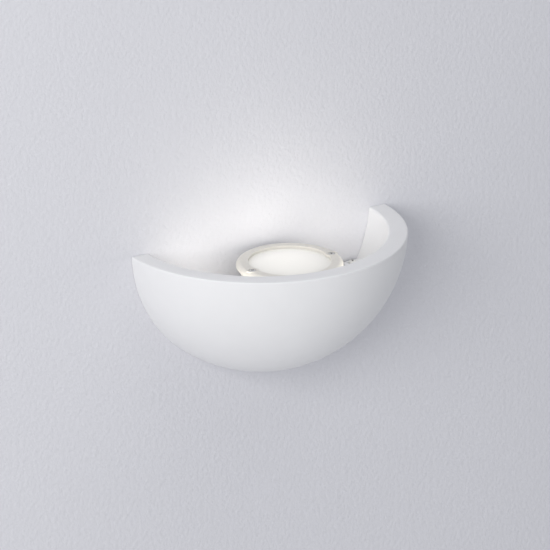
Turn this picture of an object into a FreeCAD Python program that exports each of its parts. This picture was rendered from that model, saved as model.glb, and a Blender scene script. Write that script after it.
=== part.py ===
import FreeCAD, Part
import math
import os

import Sketcher
from FreeCAD import Vector

# Half-bowl uplighter wall light. A thick plaster bowl hangs on a folded steel wall bracket. The bracket's
# shelf carries a finned lamp housing whose domed opal glass is held down by a screwed clamp ring, and under
# the shelf sit the driver, the terminal block and the leads between them.
#
# Frame: the wall is the plane Y = 0 and the room is at negative Y, Z is up, X runs along the wall. The
# origin is half-way between the two wall-screw slots, on the wall. All lengths are millimetres.

DRIVING_SIZES = {
    # plaster bowl: a ball cut by the wall and by the level rim
    "rim_radius": (150.0, "outside of the rim, from the middle of the light"),
    "bowl_height": (143.0, "rim down to the underside of the bowl"),
    "bowl_wall": (20.0, "thickness of the plaster"),
    "rim_rise": (80.0, "rim above the wall screws"),
    "rim_inner_round": (2.5, "rounding of the rim's inner edge"),
    "rim_outer_round": (1.5, "rounding of the rim's outer edge"),
    # rear lugs of the bowl, which sit on the bracket's tabs
    "lug_height": (7.0, "thickness of a lug"),
    "lug_radius": (9.0, "round end of a lug, seen from above"),
    "lug_back_gap": (2.0, "lug's back edge to the wall"),
    "lug_root": (20.0, "depth of a lug past its screw, into the plaster"),
    "lug_round": (1.2, "rounding of a lug's upper edge"),
    "pad_height": (1.0, "rubber pad between tab and lug"),
    "pad_radius": (5.0, "rubber pad outside radius"),
    # folded wall bracket
    "sheet": (1.5, "steel sheet"),
    "shelf_top": (19.5, "shelf above the wall screws"),
    "shelf_half_width": (44.0, "half the shelf's width"),
    "shelf_gap": (2.2, "shelf's rounded front corners to the plaster"),
    "shelf_round": (10.0, "front corners of the shelf"),
    "shelf_neck_round": (6.0, "inside corners where the tabs leave the shelf"),
    "tab_depth": (20.0, "depth of a side tab from the wall"),
    "tab_round": (8.0, "front corner of a side tab"),
    "tab_gap": (1.6, "end of a tab to the plaster"),
    "tab_edge": (5.2, "middle of the lug screw to the tab's end"),
    "plate_half_width": (68.0, "half the wall plate's width"),
    "plate_drop": (18.0, "wall plate below the wall screws"),
    "plate_round": (8.0, "lower corners of the wall plate"),
    "fold_round": (1.2, "outside of the fold between plate and shelf"),
    "gusset_reach": (44.0, "side gusset along the shelf, from the wall"),
    "gusset_drop": (14.0, "side gusset below the wall screws"),
    "slot_spacing": (108.0, "between the middles of the wall-screw slots"),
    "slot_length": (12.0, "wall-screw slot, end to end"),
    "slot_width": (5.5, "wall-screw slot"),
    "collar_height": (2.0, "extruded collar of a tapped tab hole"),
    "collar_wall": (1.3, "wall of that collar"),
    # cable entry
    "entry_rise": (3.0, "cable entry above the wall screws"),
    "entry_hole": (8.0, "hole in the wall plate, radius"),
    "entry_bore": (5.0, "bore of the rubber bush, radius"),
    "entry_flange": (10.5, "flange of the bush, radius"),
    "entry_flange_thick": (2.0, "flange of the bush, thickness"),
    "entry_nose": (7.0, "nose of the bush, radius at its root"),
    "entry_nose_tip": (6.2, "nose of the bush, radius at its tip"),
    "entry_nose_length": (4.5, "nose of the bush, length"),
    # lamp housing
    "lamp_reach": (58.0, "wall to the lamp's axis"),
    "lamp_base_radius": (43.5, "housing at the shelf"),
    "lamp_top_radius": (46.0, "housing below its flange"),
    "lamp_bore": (40.5, "light chamber, radius"),
    "lamp_floor": (5.0, "floor of the housing"),
    "flange_height": (6.0, "flange round the mouth of the housing"),
    "fin_count": (24.0, "cooling fins round the housing"),
    "fin_thick": (1.8, "thickness of a fin"),
    "fin_reach": (49.5, "tip of a fin from the lamp's axis"),
    "fin_foot": (2.5, "foot of the fins above the shelf"),
    "ring_boss_radius": (4.6, "boss that takes a ring screw"),
    "ring_boss_depth": (9.0, "ring-screw boss below the flange"),
    "floor_boss_radius": (4.0, "boss in the chamber for a housing screw"),
    "floor_boss_rise": (5.5, "that boss above the floor"),
    "housing_screw_circle": (38.0, "housing screws from the lamp's axis"),
    # clamp ring
    "ring_drop": (14.0, "rim down to the top of the clamp ring"),
    "ring_outer": (54.0, "clamp ring, outer radius"),
    "ring_inner": (42.3, "clamp ring, inner radius"),
    "ring_lip": (3.0, "thickness of the ring above the glass"),
    "ring_height": (6.0, "height of the ring's skirt"),
    "ring_skirt": (2.2, "thickness of the skirt"),
    "ring_flat": (49.5, "outer radius of the ring's flat top"),
    "ring_slope": (3.2, "fall of the ring's rounded shoulder"),
    "ring_shoulder": (5.5, "radius of that shoulder"),
    "ring_fit": (0.3, "play between skirt and housing"),
    "ring_screw_circle": (46.5, "ring screws from the lamp's axis"),
    "ring_screw_forward": (4.5, "line through the ring screws, in front of the lamp's axis"),
    "ear_radius": (6.4, "round ear at a ring screw"),
    "ear_proud": (0.2, "ear above the ring's top"),
    "ear_sink": (2.0, "underside of the ear below the ring's top"),
    "ear_bore": (4.0, "recess for a ring screw's head, radius"),
    "ear_bore_depth": (1.9, "recess for a ring screw's head, depth"),
    # glass and its gasket
    "glass_radius": (43.3, "edge of the opal glass"),
    "glass_flat": (1.5, "width of the glass's flat edge"),
    "glass_thick": (3.0, "thickness of the glass"),
    "glass_dome": (6.0, "rise of the dome"),
    "glass_play": (0.4, "play round the glass in its pocket"),
    "gasket_thick": (1.5, "silicone gasket under the glass"),
    # light source
    "thermal_pad_thick": (0.5, "thermal pad"),
    "thermal_pad_inset": (1.0, "edge of the thermal pad inside the board's edge"),
    "board_radius": (33.3, "light board"),
    "board_thick": (1.6, "light board"),
    "board_screw_circle": (30.2, "board screws from the lamp's axis"),
    "board_screw_angle": (90.0, "first of the three board screws, degrees from +X"),
    "chip_length": (3.5, "light chip along its ring"),
    "chip_width": (2.8, "light chip across its ring"),
    "chip_height": (0.7, "light chip"),
    "inner_chip_circle": (9.0, "inner ring of chips"),
    "outer_chip_circle": (17.0, "outer ring of chips"),
    "lead_circle": (23.0, "lead's way up, from the lamp's axis"),
    "lead_angle": (60.0, "lead's way up, degrees from +X"),
    "connector_circle": (19.0, "connector's outer end from the lamp's axis"),
    "connector_length": (6.0, "board connector along the lead"),
    "connector_width": (5.0, "board connector across the lead"),
    "connector_height": (5.0, "board connector"),
    "reflector_foot": (25.8, "reflector's lower opening, radius"),
    "reflector_wall": (1.0, "wall of the reflector"),
    "reflector_flange": (1.2, "flange under the board screws"),
    "reflector_play": (0.3, "reflector to the chamber's wall"),
    "bush_radius": (4.3, "rubber bush round the lamp lead"),
    "bush_flange": (6.3, "flange of that bush, radius"),
    "bush_flange_thick": (1.2, "flange of that bush, thickness"),
    # driver, under the shelf
    "driver_half_length": (27.0, "half the driver's length"),
    "driver_back": (46.0, "wall to the driver's near side"),
    "driver_depth": (34.0, "driver from back to front"),
    "driver_base": (2.0, "driver's base plate"),
    "driver_gap": (3.2, "driver's lower front corners above the plaster"),
    "driver_wall": (1.5, "wall of the driver's cover"),
    "driver_round": (2.0, "corners of the driver's cover"),
    "ear_length": (10.0, "driver's fixing ears"),
    "ear_half_width": (6.0, "half the width of a fixing ear"),
    "driver_board_thick": (1.6, "driver's circuit board"),
    "core_length": (13.5, "transformer core along the driver"),
    "core_width": (15.5, "transformer core across the driver"),
    "coil_radius": (9.5, "transformer winding"),
    "coil_inset": (2.5, "transformer winding to either end of its core"),
    "capacitor_radius": (4.4, "driver's capacitors"),
    "part_play": (1.0, "components to the cover's walls"),
    "part_floor_gap": (5.0, "components to the cover's floor"),
    "driver_board_play": (0.3, "driver's circuit board to its cover"),
    # terminal block
    "pole_pitch": (10.0, "between terminal poles"),
    "block_half_length": (15.5, "half the terminal block's length"),
    "block_back": (12.5, "wall to the terminal block"),
    "block_depth": (18.0, "terminal block from back to front"),
    "block_height": (14.0, "terminal block"),
    "clamp_radius": (2.35, "brass clamp, outside"),
    "clamp_bore": (1.35, "brass clamp, bore"),
    "clamp_inset": (1.0, "end of a brass clamp inside the block"),
    "clamp_screw_spread": (8.0, "between the two screws of a clamp"),
    "pin_inset": (1.0, "clamp screw below the face of the block"),
    "slit_depth": (0.8, "screwdriver slit of a clamp screw"),
    "slit_width": (0.6, "screwdriver slit of a clamp screw"),
    "notch_width": (1.2, "break-off notch between two poles"),
    "notch_depth": (2.5, "break-off notch between two poles"),
    # earth tag
    "tag_radius": (4.8, "eye of the tag"),
    "tag_thick": (0.8, "sheet of the tag"),
    "earth_screw_inset": (11.0, "earth screw to the side edge of the shelf"),
    "earth_screw_back": (11.5, "earth screw to the wall plate"),
    "earth_screw_past": (3.0, "end of the earth screw above the shelf"),
    "barrel_wall": (0.6, "crimped barrel of the tag"),
    "barrel_length": (6.0, "crimped barrel of the tag"),
    "barrel_rest": (1.0, "end of the earth lead to the far end of the barrel"),
    # leads
    "wire_drop": (10.5, "leads below the top of the shelf"),
    "wire_radius": (1.1, "mains and earth lead"),
    "lamp_lead_radius": (1.6, "lead to the light board"),
    "wire_gap": (0.2, "play round a lead in its hole"),
    "live_row": (37.6, "wall to the live lead's run along the block"),
    "live_column": (36.5, "live lead's run along the driver, from the middle"),
    "neutral_row": (41.2, "wall to the neutral lead's run along the block"),
    "neutral_column": (33.0, "neutral lead's run along the driver, from the middle"),
    "neutral_end": (58.0, "wall to the neutral lead's way into the driver"),
    "lamp_column": (35.0, "lamp lead's run along the driver, from the middle"),
    "lead_into_driver": (2.0, "lead ends inside the driver's cover"),
    "lead_above_board": (2.9, "lamp lead above the light board"),
    "earth_row": (33.8, "wall to the earth lead's run along the block"),
    "mains_bend": (5.5, "bends of the live and neutral leads"),
    "lamp_bend": (3.8, "bends of the lamp lead"),
    "earth_bend": (2.4, "bends of the earth lead"),
    # fasteners: radius of the shank, radius and height of the head
    "m3_radius": (1.5, "M3 shank"),
    "m3_head": (2.5, "M3 head"),
    "m3_head_height": (1.9, "M3 head"),
    "m35_radius": (1.75, "M3.5 shank"),
    "m35_head": (3.5, "M3.5 head"),
    "m35_head_height": (2.2, "M3.5 head"),
    "m4_radius": (2.0, "M4 shank"),
    "m4_head": (4.0, "M4 head"),
    "m4_head_height": (2.6, "M4 head"),
    "washer_radius": (4.5, "M4 washer"),
    "washer_thick": (0.8, "M4 washer"),
    "blind_rest": (1.5, "metal past the end of a blind screw hole"),
    "board_hole_rest": (1.0, "floor left under a board-screw hole"),
    "tip_gap": (1.5, "end of a screw to the end of its blind hole"),
    "thread_gap": (0.05, "play round a thread"),
    "hole_gap": (0.2, "play round a shank in a plain hole"),
    "seat_gap": (0.05, "play of a pressed-in piece"),
}

doc = FreeCAD.newDocument("wall_uplighter")
sheet = doc.addObject("Spreadsheet::Sheet", "Sizes")
for row, (alias, (number, note)) in enumerate(DRIVING_SIZES.items(), start=1):
    sheet.set(f"A{row}", note)
    sheet.set(f"B{row}", f"{number:g}")
    sheet.setAlias(f"B{row}", alias)
doc.recompute()


class Size:
    """A length or angle that also remembers the sheet formula it comes from."""

    def __init__(self, value, formula):
        self.value = float(value)
        self.formula = formula

    def __add__(self, other):
        other = as_size(other)
        return Size(self.value + other.value, f"({self.formula} + {other.formula})")

    def __sub__(self, other):
        other = as_size(other)
        return Size(self.value - other.value, f"({self.formula} - {other.formula})")

    def __mul__(self, other):
        other = as_size(other)
        return Size(self.value * other.value, f"({self.formula} * {other.formula})")

    def __truediv__(self, other):
        other = as_size(other)
        return Size(self.value / other.value, f"({self.formula} / {other.formula})")

    def __neg__(self):
        return Size(-self.value, f"(0 - {self.formula})")

    def __radd__(self, other):
        return as_size(other) + self

    def __rsub__(self, other):
        return as_size(other) - self

    def __rmul__(self, other):
        return as_size(other) * self

    def __rtruediv__(self, other):
        return as_size(other) / self


def as_size(number):
    if isinstance(number, Size):
        return number
    return Size(number, f"{number:.9g}" if number >= 0 else f"(0 - {-number:.9g})")


def root(size):
    return Size(math.sqrt(size.value), f"sqrt({size.formula})")


def cosine(angle):
    angle = as_size(angle)
    return Size(math.cos(math.radians(angle.value)), f"cos({angle.formula})")


def sine(angle):
    angle = as_size(angle)
    return Size(math.sin(math.radians(angle.value)), f"sin({angle.formula})")


class Sheet:
    """The driving sizes by name."""


s = Sheet()
for alias, (number, note) in DRIVING_SIZES.items():
    setattr(s, alias, Size(number, f"Sizes.{alias}"))


# ---------------------------------------------------------------- building helpers

FULL_TURN = 360
HALF_TURN = 180
PAST = 1  # how far a cut starts outside the face it enters


def bind(thing, path, size):
    """Ties one property of an object to the sheet."""
    thing.setExpression(path, as_size(size).formula)


def bind_place(thing, x, y, z):
    for axis, size in (("x", x), ("y", y), ("z", z)):
        bind(thing, f"Placement.Base.{axis}", size)


def new_body(label, x=0, y=0, z=0):
    body = doc.addObject("PartDesign::Body", label)
    body.Label = label
    bind_place(body, x, y, z)
    return body


def new_sketch(body, plane, offset=0):
    """A sketch on one of the body's own origin planes, moved along the plane's normal."""
    sketch = body.newObject("Sketcher::SketchObject", f"{body.Name}_sketch")
    support = [f for f in body.Origin.OriginFeatures if f.Role == f"{plane}_Plane"][0]
    sketch.AttachmentSupport = [(support, "")]
    sketch.MapMode = "FlatFace"
    bind(sketch, "AttachmentOffset.Base.z", offset)
    return sketch


def fix_point(sketch, piece, corner, x, y):
    for kind, size in (("DistanceX", as_size(x)), ("DistanceY", as_size(y))):
        number = sketch.addConstraint(Sketcher.Constraint(kind, -1, 1, piece, corner, size.value))
        sketch.setExpression(f"Constraints[{number}]", size.formula)


def fix_radius(sketch, piece, radius):
    number = sketch.addConstraint(Sketcher.Constraint("Radius", piece, radius.value))
    sketch.setExpression(f"Constraints[{number}]", radius.formula)


def arc_centre(start, end, radius, left):
    """Centre of the short arc from start to end, on the left or right of the way from start to end."""
    middle = (start + end) / 2
    half = (end - start) / 2
    height = math.sqrt(max(radius**2 - half.Length**2, 0))
    side = Vector(-half.y, half.x, 0).normalize()
    return middle + side * (height if left else -height)


def draw_outline(sketch, corners):
    """A closed outline. A corner is (x, y), or (x, y, radius) where the way there is an arc: with a positive
    radius it turns left on the way, with a negative one right."""
    points = [Vector(as_size(c[0]).value, as_size(c[1]).value, 0) for c in corners]
    pieces = []
    for number, corner in enumerate(corners):
        start, end = points[number - 1], points[number]
        if len(corner) == 2:
            pieces.append((sketch.addGeometry(Part.LineSegment(start, end)), 1, 2))
            continue
        radius, turns_left = corner[2], corner[2].value > 0
        centre = arc_centre(start, end, abs(radius.value), turns_left)
        first, last = (start, end) if turns_left else (end, start)
        angles = [math.atan2(p.y - centre.y, p.x - centre.x) for p in (first, last)]
        if angles[1] < angles[0]:
            angles[1] += 2 * math.pi
        circle = Part.Circle(centre, Vector(0, 0, 1), abs(radius.value))
        piece = sketch.addGeometry(Part.ArcOfCircle(circle, *angles))
        pieces.append((piece, 1, 2) if turns_left else (piece, 2, 1))
    for number, (piece, start_end, far_end) in enumerate(pieces):
        before = pieces[number - 1]
        sketch.addConstraint(Sketcher.Constraint("Coincident", before[0], before[2], piece, start_end))
    for (piece, start_end, far_end), corner in zip(pieces, corners):
        fix_point(sketch, piece, far_end, corner[0], corner[1])
        if len(corner) == 3:
            fix_radius(sketch, piece, corner[2] if corner[2].value > 0 else -corner[2])


def draw_circle(sketch, x, y, radius):
    x, y, radius = as_size(x), as_size(y), as_size(radius)
    circle = Part.Circle(Vector(x.value, y.value, 0), Vector(0, 0, 1), radius.value)
    piece = sketch.addGeometry(circle)
    fix_point(sketch, piece, 3, x, y)
    fix_radius(sketch, piece, radius)


def draw_circles(sketch, places, radius):
    for x, y in places:
        draw_circle(sketch, x, y, radius)


def slot_corners(x, y, length, width):
    """A level slot round (x, y); each round end is two quarter arcs."""
    end, radius = length / 2, width / 2
    straight = end - radius
    return [
        (x + straight, y - radius),
        (x + end, y, radius),
        (x + straight, y + radius, radius),
        (x - straight, y + radius),
        (x - end, y, radius),
        (x - straight, y - radius, radius),
    ]


def radial_corners(near_end, far_end, width, angle):
    """An oblong that points away from the middle at an angle, between two radii."""
    corners = []
    for radius, side in ((near_end, -1), (far_end, -1), (far_end, 1), (near_end, 1)):
        offset = side * width / 2
        corners.append(
            (radius * cosine(angle) - offset * sine(angle), radius * sine(angle) + offset * cosine(angle))
        )
    return corners


def add_feature(body, kind, sketch, name):
    feature = body.newObject(f"PartDesign::{kind}", f"{body.Name}_{name}")
    feature.Profile = sketch
    sketch.Visibility = False
    return feature


def pad(body, sketch, length, name="pad", backwards=False):
    feature = add_feature(body, "Pad", sketch, name)
    bind(feature, "Length", length)
    feature.Reversed = backwards
    doc.recompute()
    return feature


def pocket(body, sketch, depth, name="pocket", backwards=False):
    """Cuts against the sketch plane's normal, or along it where backwards is set; raises if nothing is cut."""
    before = body.Shape.Volume
    feature = add_feature(body, "Pocket", sketch, name)
    bind(feature, "Length", depth)
    feature.Reversed = backwards
    doc.recompute()
    if body.Shape.Volume > before - 1e-3:
        raise RuntimeError(f"{feature.Name} removes nothing")
    return feature


def revolve(body, sketch, axis="V_Axis", angle=FULL_TURN, backwards=False, name="turn"):
    feature = add_feature(body, "Revolution", sketch, name)
    feature.ReferenceAxis = (sketch, [axis])
    feature.Angle = angle
    feature.Reversed = backwards
    doc.recompute()
    return feature


def mirror(body, originals, plane="YZ_Plane"):
    feature = body.newObject("PartDesign::Mirrored", f"{body.Name}_mirror")
    feature.Originals = originals
    support = [f for f in body.Origin.OriginFeatures if f.Role == plane][0]
    feature.MirrorPlane = (support, [""])
    body.Tip = feature
    doc.recompute()
    return feature


def repeat_round(body, originals, count):
    feature = body.newObject("PartDesign::PolarPattern", f"{body.Name}_pattern")
    feature.Originals = originals
    support = [f for f in body.Origin.OriginFeatures if f.Role == "Z_Axis"][0]
    feature.Axis = (support, [""])
    feature.Angle = FULL_TURN
    bind(feature, "Occurrences", count)
    body.Tip = feature
    doc.recompute()
    return feature


def round_edges(body, wanted, radius, name="round"):
    """Rounds the edges of the body for which wanted(edge) is true."""
    base = body.Tip
    names = [f"Edge{number}" for number, edge in enumerate(base.Shape.Edges, start=1) if wanted(edge)]
    if not names:
        raise RuntimeError(f"{body.Label}: no edge to round")
    feature = body.newObject("PartDesign::Fillet", f"{body.Name}_{name}")
    feature.Base = (base, names)
    bind(feature, "Radius", radius)
    doc.recompute()
    return feature


def near(value, size, play=0.01):
    return abs(value - as_size(size).value) < play


def turned(label, outline, x=0, y=0, z=0):
    """A round piece on an upright axis at (x, y); its outline is (radius, height)."""
    body = new_body(label, x, y, z)
    sketch = new_sketch(body, "XZ")
    draw_outline(sketch, outline)
    revolve(body, sketch)
    return body


def washer_outline(inner, outer, low, high):
    return [(inner, low), (outer, low), (outer, high), (inner, high)]


def group(label, members):
    """Several solids of one kind as one sub-part."""
    compound = doc.addObject("Part::Compound", label)
    compound.Label = label
    compound.Links = members
    return compound


# a pan head in parts of its own radius and height, and a screw's tip in parts of the shank's radius
SCREW_TIP = 0.6
HEAD_EDGE = 0.5
HEAD_CROWN = 0.72
HEAD_SHOULDER = 0.9
CROSS_ARM = 0.55
CROSS_WIDTH = 0.28
CROSS_DEPTH = 0.55


def screw(label, x, y, seat, length, radius, head, head_height, upwards=False):
    """A pan-head cross-recess screw whose head rests on its seat, driven from above or from below."""
    facing = -1 if upwards else 1
    body = new_body(label, x, y, seat)
    sketch = new_sketch(body, "XZ")
    outline = [
        (0, facing * head_height),
        (0, -facing * length),
        (radius * SCREW_TIP, -facing * length),
        (radius, -facing * (length - radius * (1 - SCREW_TIP))),
        (radius, 0),
        (head, 0),
        (head, facing * head_height * HEAD_EDGE),
        (head * HEAD_CROWN, facing * head_height * HEAD_SHOULDER),
    ]
    draw_outline(sketch, outline)
    revolve(body, sketch)
    recess = new_sketch(body, "XY", facing * (head_height + PAST))
    arm, half = head * CROSS_ARM, head * CROSS_WIDTH / 2
    draw_outline(
        recess,
        [
            (-arm, -half), (-half, -half), (-half, -arm), (half, -arm), (half, -half), (arm, -half),
            (arm, half), (half, half), (half, arm), (-half, arm), (-half, half), (-arm, half),
        ],
    )
    pocket(body, recess, head_height * CROSS_DEPTH + PAST, "recess", backwards=upwards)
    return body


def round_path(points, radius):
    """A wire of straight runs joined by tangent arcs of one radius."""
    edges, start = [], points[0]
    for before, corner, after in zip(points, points[1:], points[2:]):
        inward = (before - corner).normalize()
        outward = (after - corner).normalize()
        half_turn = (math.pi - inward.getAngle(outward)) / 2
        reach = radius * math.tan(half_turn)
        first, last = corner + inward * reach, corner + outward * reach
        bisector = (inward + outward).normalize()
        middle = corner + bisector * (radius / math.cos(half_turn) - radius)
        if (first - start).Length > 1e-6:
            edges.append(Part.LineSegment(start, first).toShape())
        edges.append(Part.Arc(first, middle, last).toShape())
        start = last
    edges.append(Part.LineSegment(start, points[-1]).toShape())
    return Part.Wire(edges)


def lead(label, points, bend, radius):
    """A round lead along its route; its volume is compared with its section times its length."""
    route = [Vector(*[as_size(v).value for v in point]) for point in points]
    path = round_path(route, bend.value)
    circle = Part.Circle(route[0], route[1] - route[0], radius.value).toShape()
    solid = path.makePipeShell([Part.Wire(circle)], True, False)
    expected = math.pi * radius.value**2 * path.Length
    if abs(solid.Volume / expected - 1) > 0.01:
        raise RuntimeError(f"{label}: pipe volume {solid.Volume:.1f}, expected {expected:.1f}")
    feature = doc.addObject("Part::Feature", label)
    feature.Label = label
    feature.Shape = solid
    print(f"{label}: length {path.Length:.1f} mm, radius of the bends {bend.value:.1f} mm")
    return feature


# ---------------------------------------------------------------- shared levels and places

centre_rise = (s.rim_radius * s.rim_radius - s.bowl_height * s.bowl_height) / (2 * s.bowl_height)
ball_height = s.rim_rise + centre_rise
outer_ball = s.bowl_height + centre_rise
inner_ball = outer_ball - s.bowl_wall
bowl_bottom = s.rim_rise - s.bowl_height


def inner_radius_at(height):
    """Radius of the bowl's hollow at a height above the wall screws."""
    below = ball_height - height
    return root(inner_ball * inner_ball - below * below)


def hollow_floor_at(radius):
    """Height of the bowl's hollow above the wall screws at a radius from its upright axis."""
    return ball_height - root(inner_ball * inner_ball - radius * radius)


shelf_under = s.shelf_top - s.sheet
shelf_side = s.shelf_half_width - s.shelf_round
shelf_corner = inner_radius_at(shelf_under) - s.shelf_gap - s.shelf_round
shelf_reach = root(shelf_corner * shelf_corner - shelf_side * shelf_side) + s.shelf_round
tab_reach = inner_radius_at(shelf_under) - s.tab_gap
lug_x = tab_reach - s.tab_edge
lug_y = -(s.lug_back_gap + s.lug_radius)
lug_under = s.shelf_top + s.pad_height
lug_top = lug_under + s.lug_height

ring_top = s.rim_rise - s.ring_drop
mouth_top = ring_top - s.ring_lip
glass_under = mouth_top - s.glass_thick
ledge = glass_under - s.gasket_thick
flange_under = mouth_top - s.flange_height
flange_radius = s.ring_outer - s.ring_skirt - s.ring_fit
pocket_radius = s.glass_radius + s.glass_play
floor_top = s.shelf_top + s.lamp_floor
board_under = floor_top + s.thermal_pad_thick
board_top = board_under + s.board_thick
reflector_flange_top = board_top + s.reflector_flange
lamp_y = -s.lamp_reach

wire_height = s.shelf_top - s.wire_drop
driver_front = s.driver_back + s.driver_depth
driver_middle = -(s.driver_back + s.driver_depth / 2)
cover_top = shelf_under - s.driver_base
board_level = cover_top - s.driver_board_thick
driver_side = s.driver_half_length - s.driver_round
driver_nose = driver_front - s.driver_round
driver_corner = root(driver_side * driver_side + driver_nose * driver_nose) + s.driver_round
cover_under = hollow_floor_at(driver_corner) + s.driver_gap
core_height = board_level - cover_under - s.driver_wall - s.part_floor_gap
ear_tip = s.driver_half_length + s.ear_length
ear_screw_x = s.driver_half_length + s.ear_length / 2
ear_screw_y = -(driver_front - s.ear_half_width - s.driver_round)
block_front = s.block_back + s.block_depth
block_middle = -(s.block_back + s.block_depth / 2)
block_under = shelf_under - s.block_height
block_screw_x = s.pole_pitch / 2

lead_offset = (s.lead_circle * cosine(s.lead_angle), s.lead_circle * sine(s.lead_angle))
lead_hole_radius = s.lamp_lead_radius + s.wire_gap
ring_screw_x = root(s.ring_screw_circle * s.ring_screw_circle - s.ring_screw_forward * s.ring_screw_forward)
ring_screw_offsets = [(side * ring_screw_x, -s.ring_screw_forward) for side in (-1, 1)]
housing_screw_offset = s.housing_screw_circle * math.sqrt(0.5)
housing_screw_offsets = [
    (housing_screw_offset * across, housing_screw_offset * away) for across in (-1, 1) for away in (-1, 1)
]
board_screw_offsets = [
    (s.board_screw_circle * cosine(angle), s.board_screw_circle * sine(angle))
    for angle in (s.board_screw_angle + FULL_TURN * third / 3 for third in range(3))
]
earth_screw_x = s.shelf_half_width - s.earth_screw_inset
earth_screw_y = -(s.sheet + s.earth_screw_back)


# ---------------------------------------------------------------- plaster bowl


def build_plaster_bowl():
    """Half of a thick ball, cut by the wall and the rim, with two lugs inside its back edge."""
    body = new_body("plaster_bowl")
    section = new_sketch(body, "XZ")
    inner_rim = root(inner_ball * inner_ball - centre_rise * centre_rise)
    draw_outline(
        section,
        [
            (0, bowl_bottom),
            (s.rim_radius, s.rim_rise, outer_ball),
            (inner_rim, s.rim_rise),
            (0, bowl_bottom + s.bowl_wall, -inner_ball),
        ],
    )
    revolve(body, section, angle=HALF_TURN, backwards=True)

    def rim_edge(edge):
        box = edge.BoundBox
        return near(box.ZMin, s.rim_rise) and near(box.ZMax, s.rim_rise) and box.YLength > s.lamp_reach.value

    middle = (inner_rim.value + s.rim_radius.value) / 2
    round_edges(body, lambda e: rim_edge(e) and e.BoundBox.XMax < middle, s.rim_inner_round, "inner_round")
    round_edges(body, lambda e: rim_edge(e) and e.BoundBox.XMax > middle, s.rim_outer_round, "outer_round")
    lug = new_sketch(body, "XY", lug_top)
    far = lug_x + s.lug_root
    back, front = lug_y + s.lug_radius, lug_y - s.lug_radius
    draw_outline(
        lug,
        [
            (far, back),
            (lug_x, back),
            (lug_x - s.lug_radius, lug_y, s.lug_radius),
            (lug_x, front, s.lug_radius),
            (far, front),
        ],
    )
    lug_pad = pad(body, lug, s.lug_height, "lug", backwards=True)
    hole = new_sketch(body, "XY", lug_top + PAST)
    draw_circle(hole, lug_x, lug_y, s.m4_radius + 2 * s.hole_gap)
    lug_hole = pocket(body, hole, s.lug_height + 2 * PAST, "lug_hole")
    mirror(body, [lug_pad, lug_hole])

    def lug_edge(edge):
        box = edge.BoundBox
        level = near(box.ZMin, lug_top) and near(box.ZMax, lug_top)
        on_hole = box.XLength < 3 * s.m4_radius.value and box.YLength < 3 * s.m4_radius.value
        on_wall = min(abs(box.XMin), abs(box.XMax)) > lug_x.value + s.lug_radius.value / 4
        return level and not on_hole and not on_wall

    round_edges(body, lug_edge, s.lug_round, "lug_round")
    return body


# ---------------------------------------------------------------- wall bracket


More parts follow.
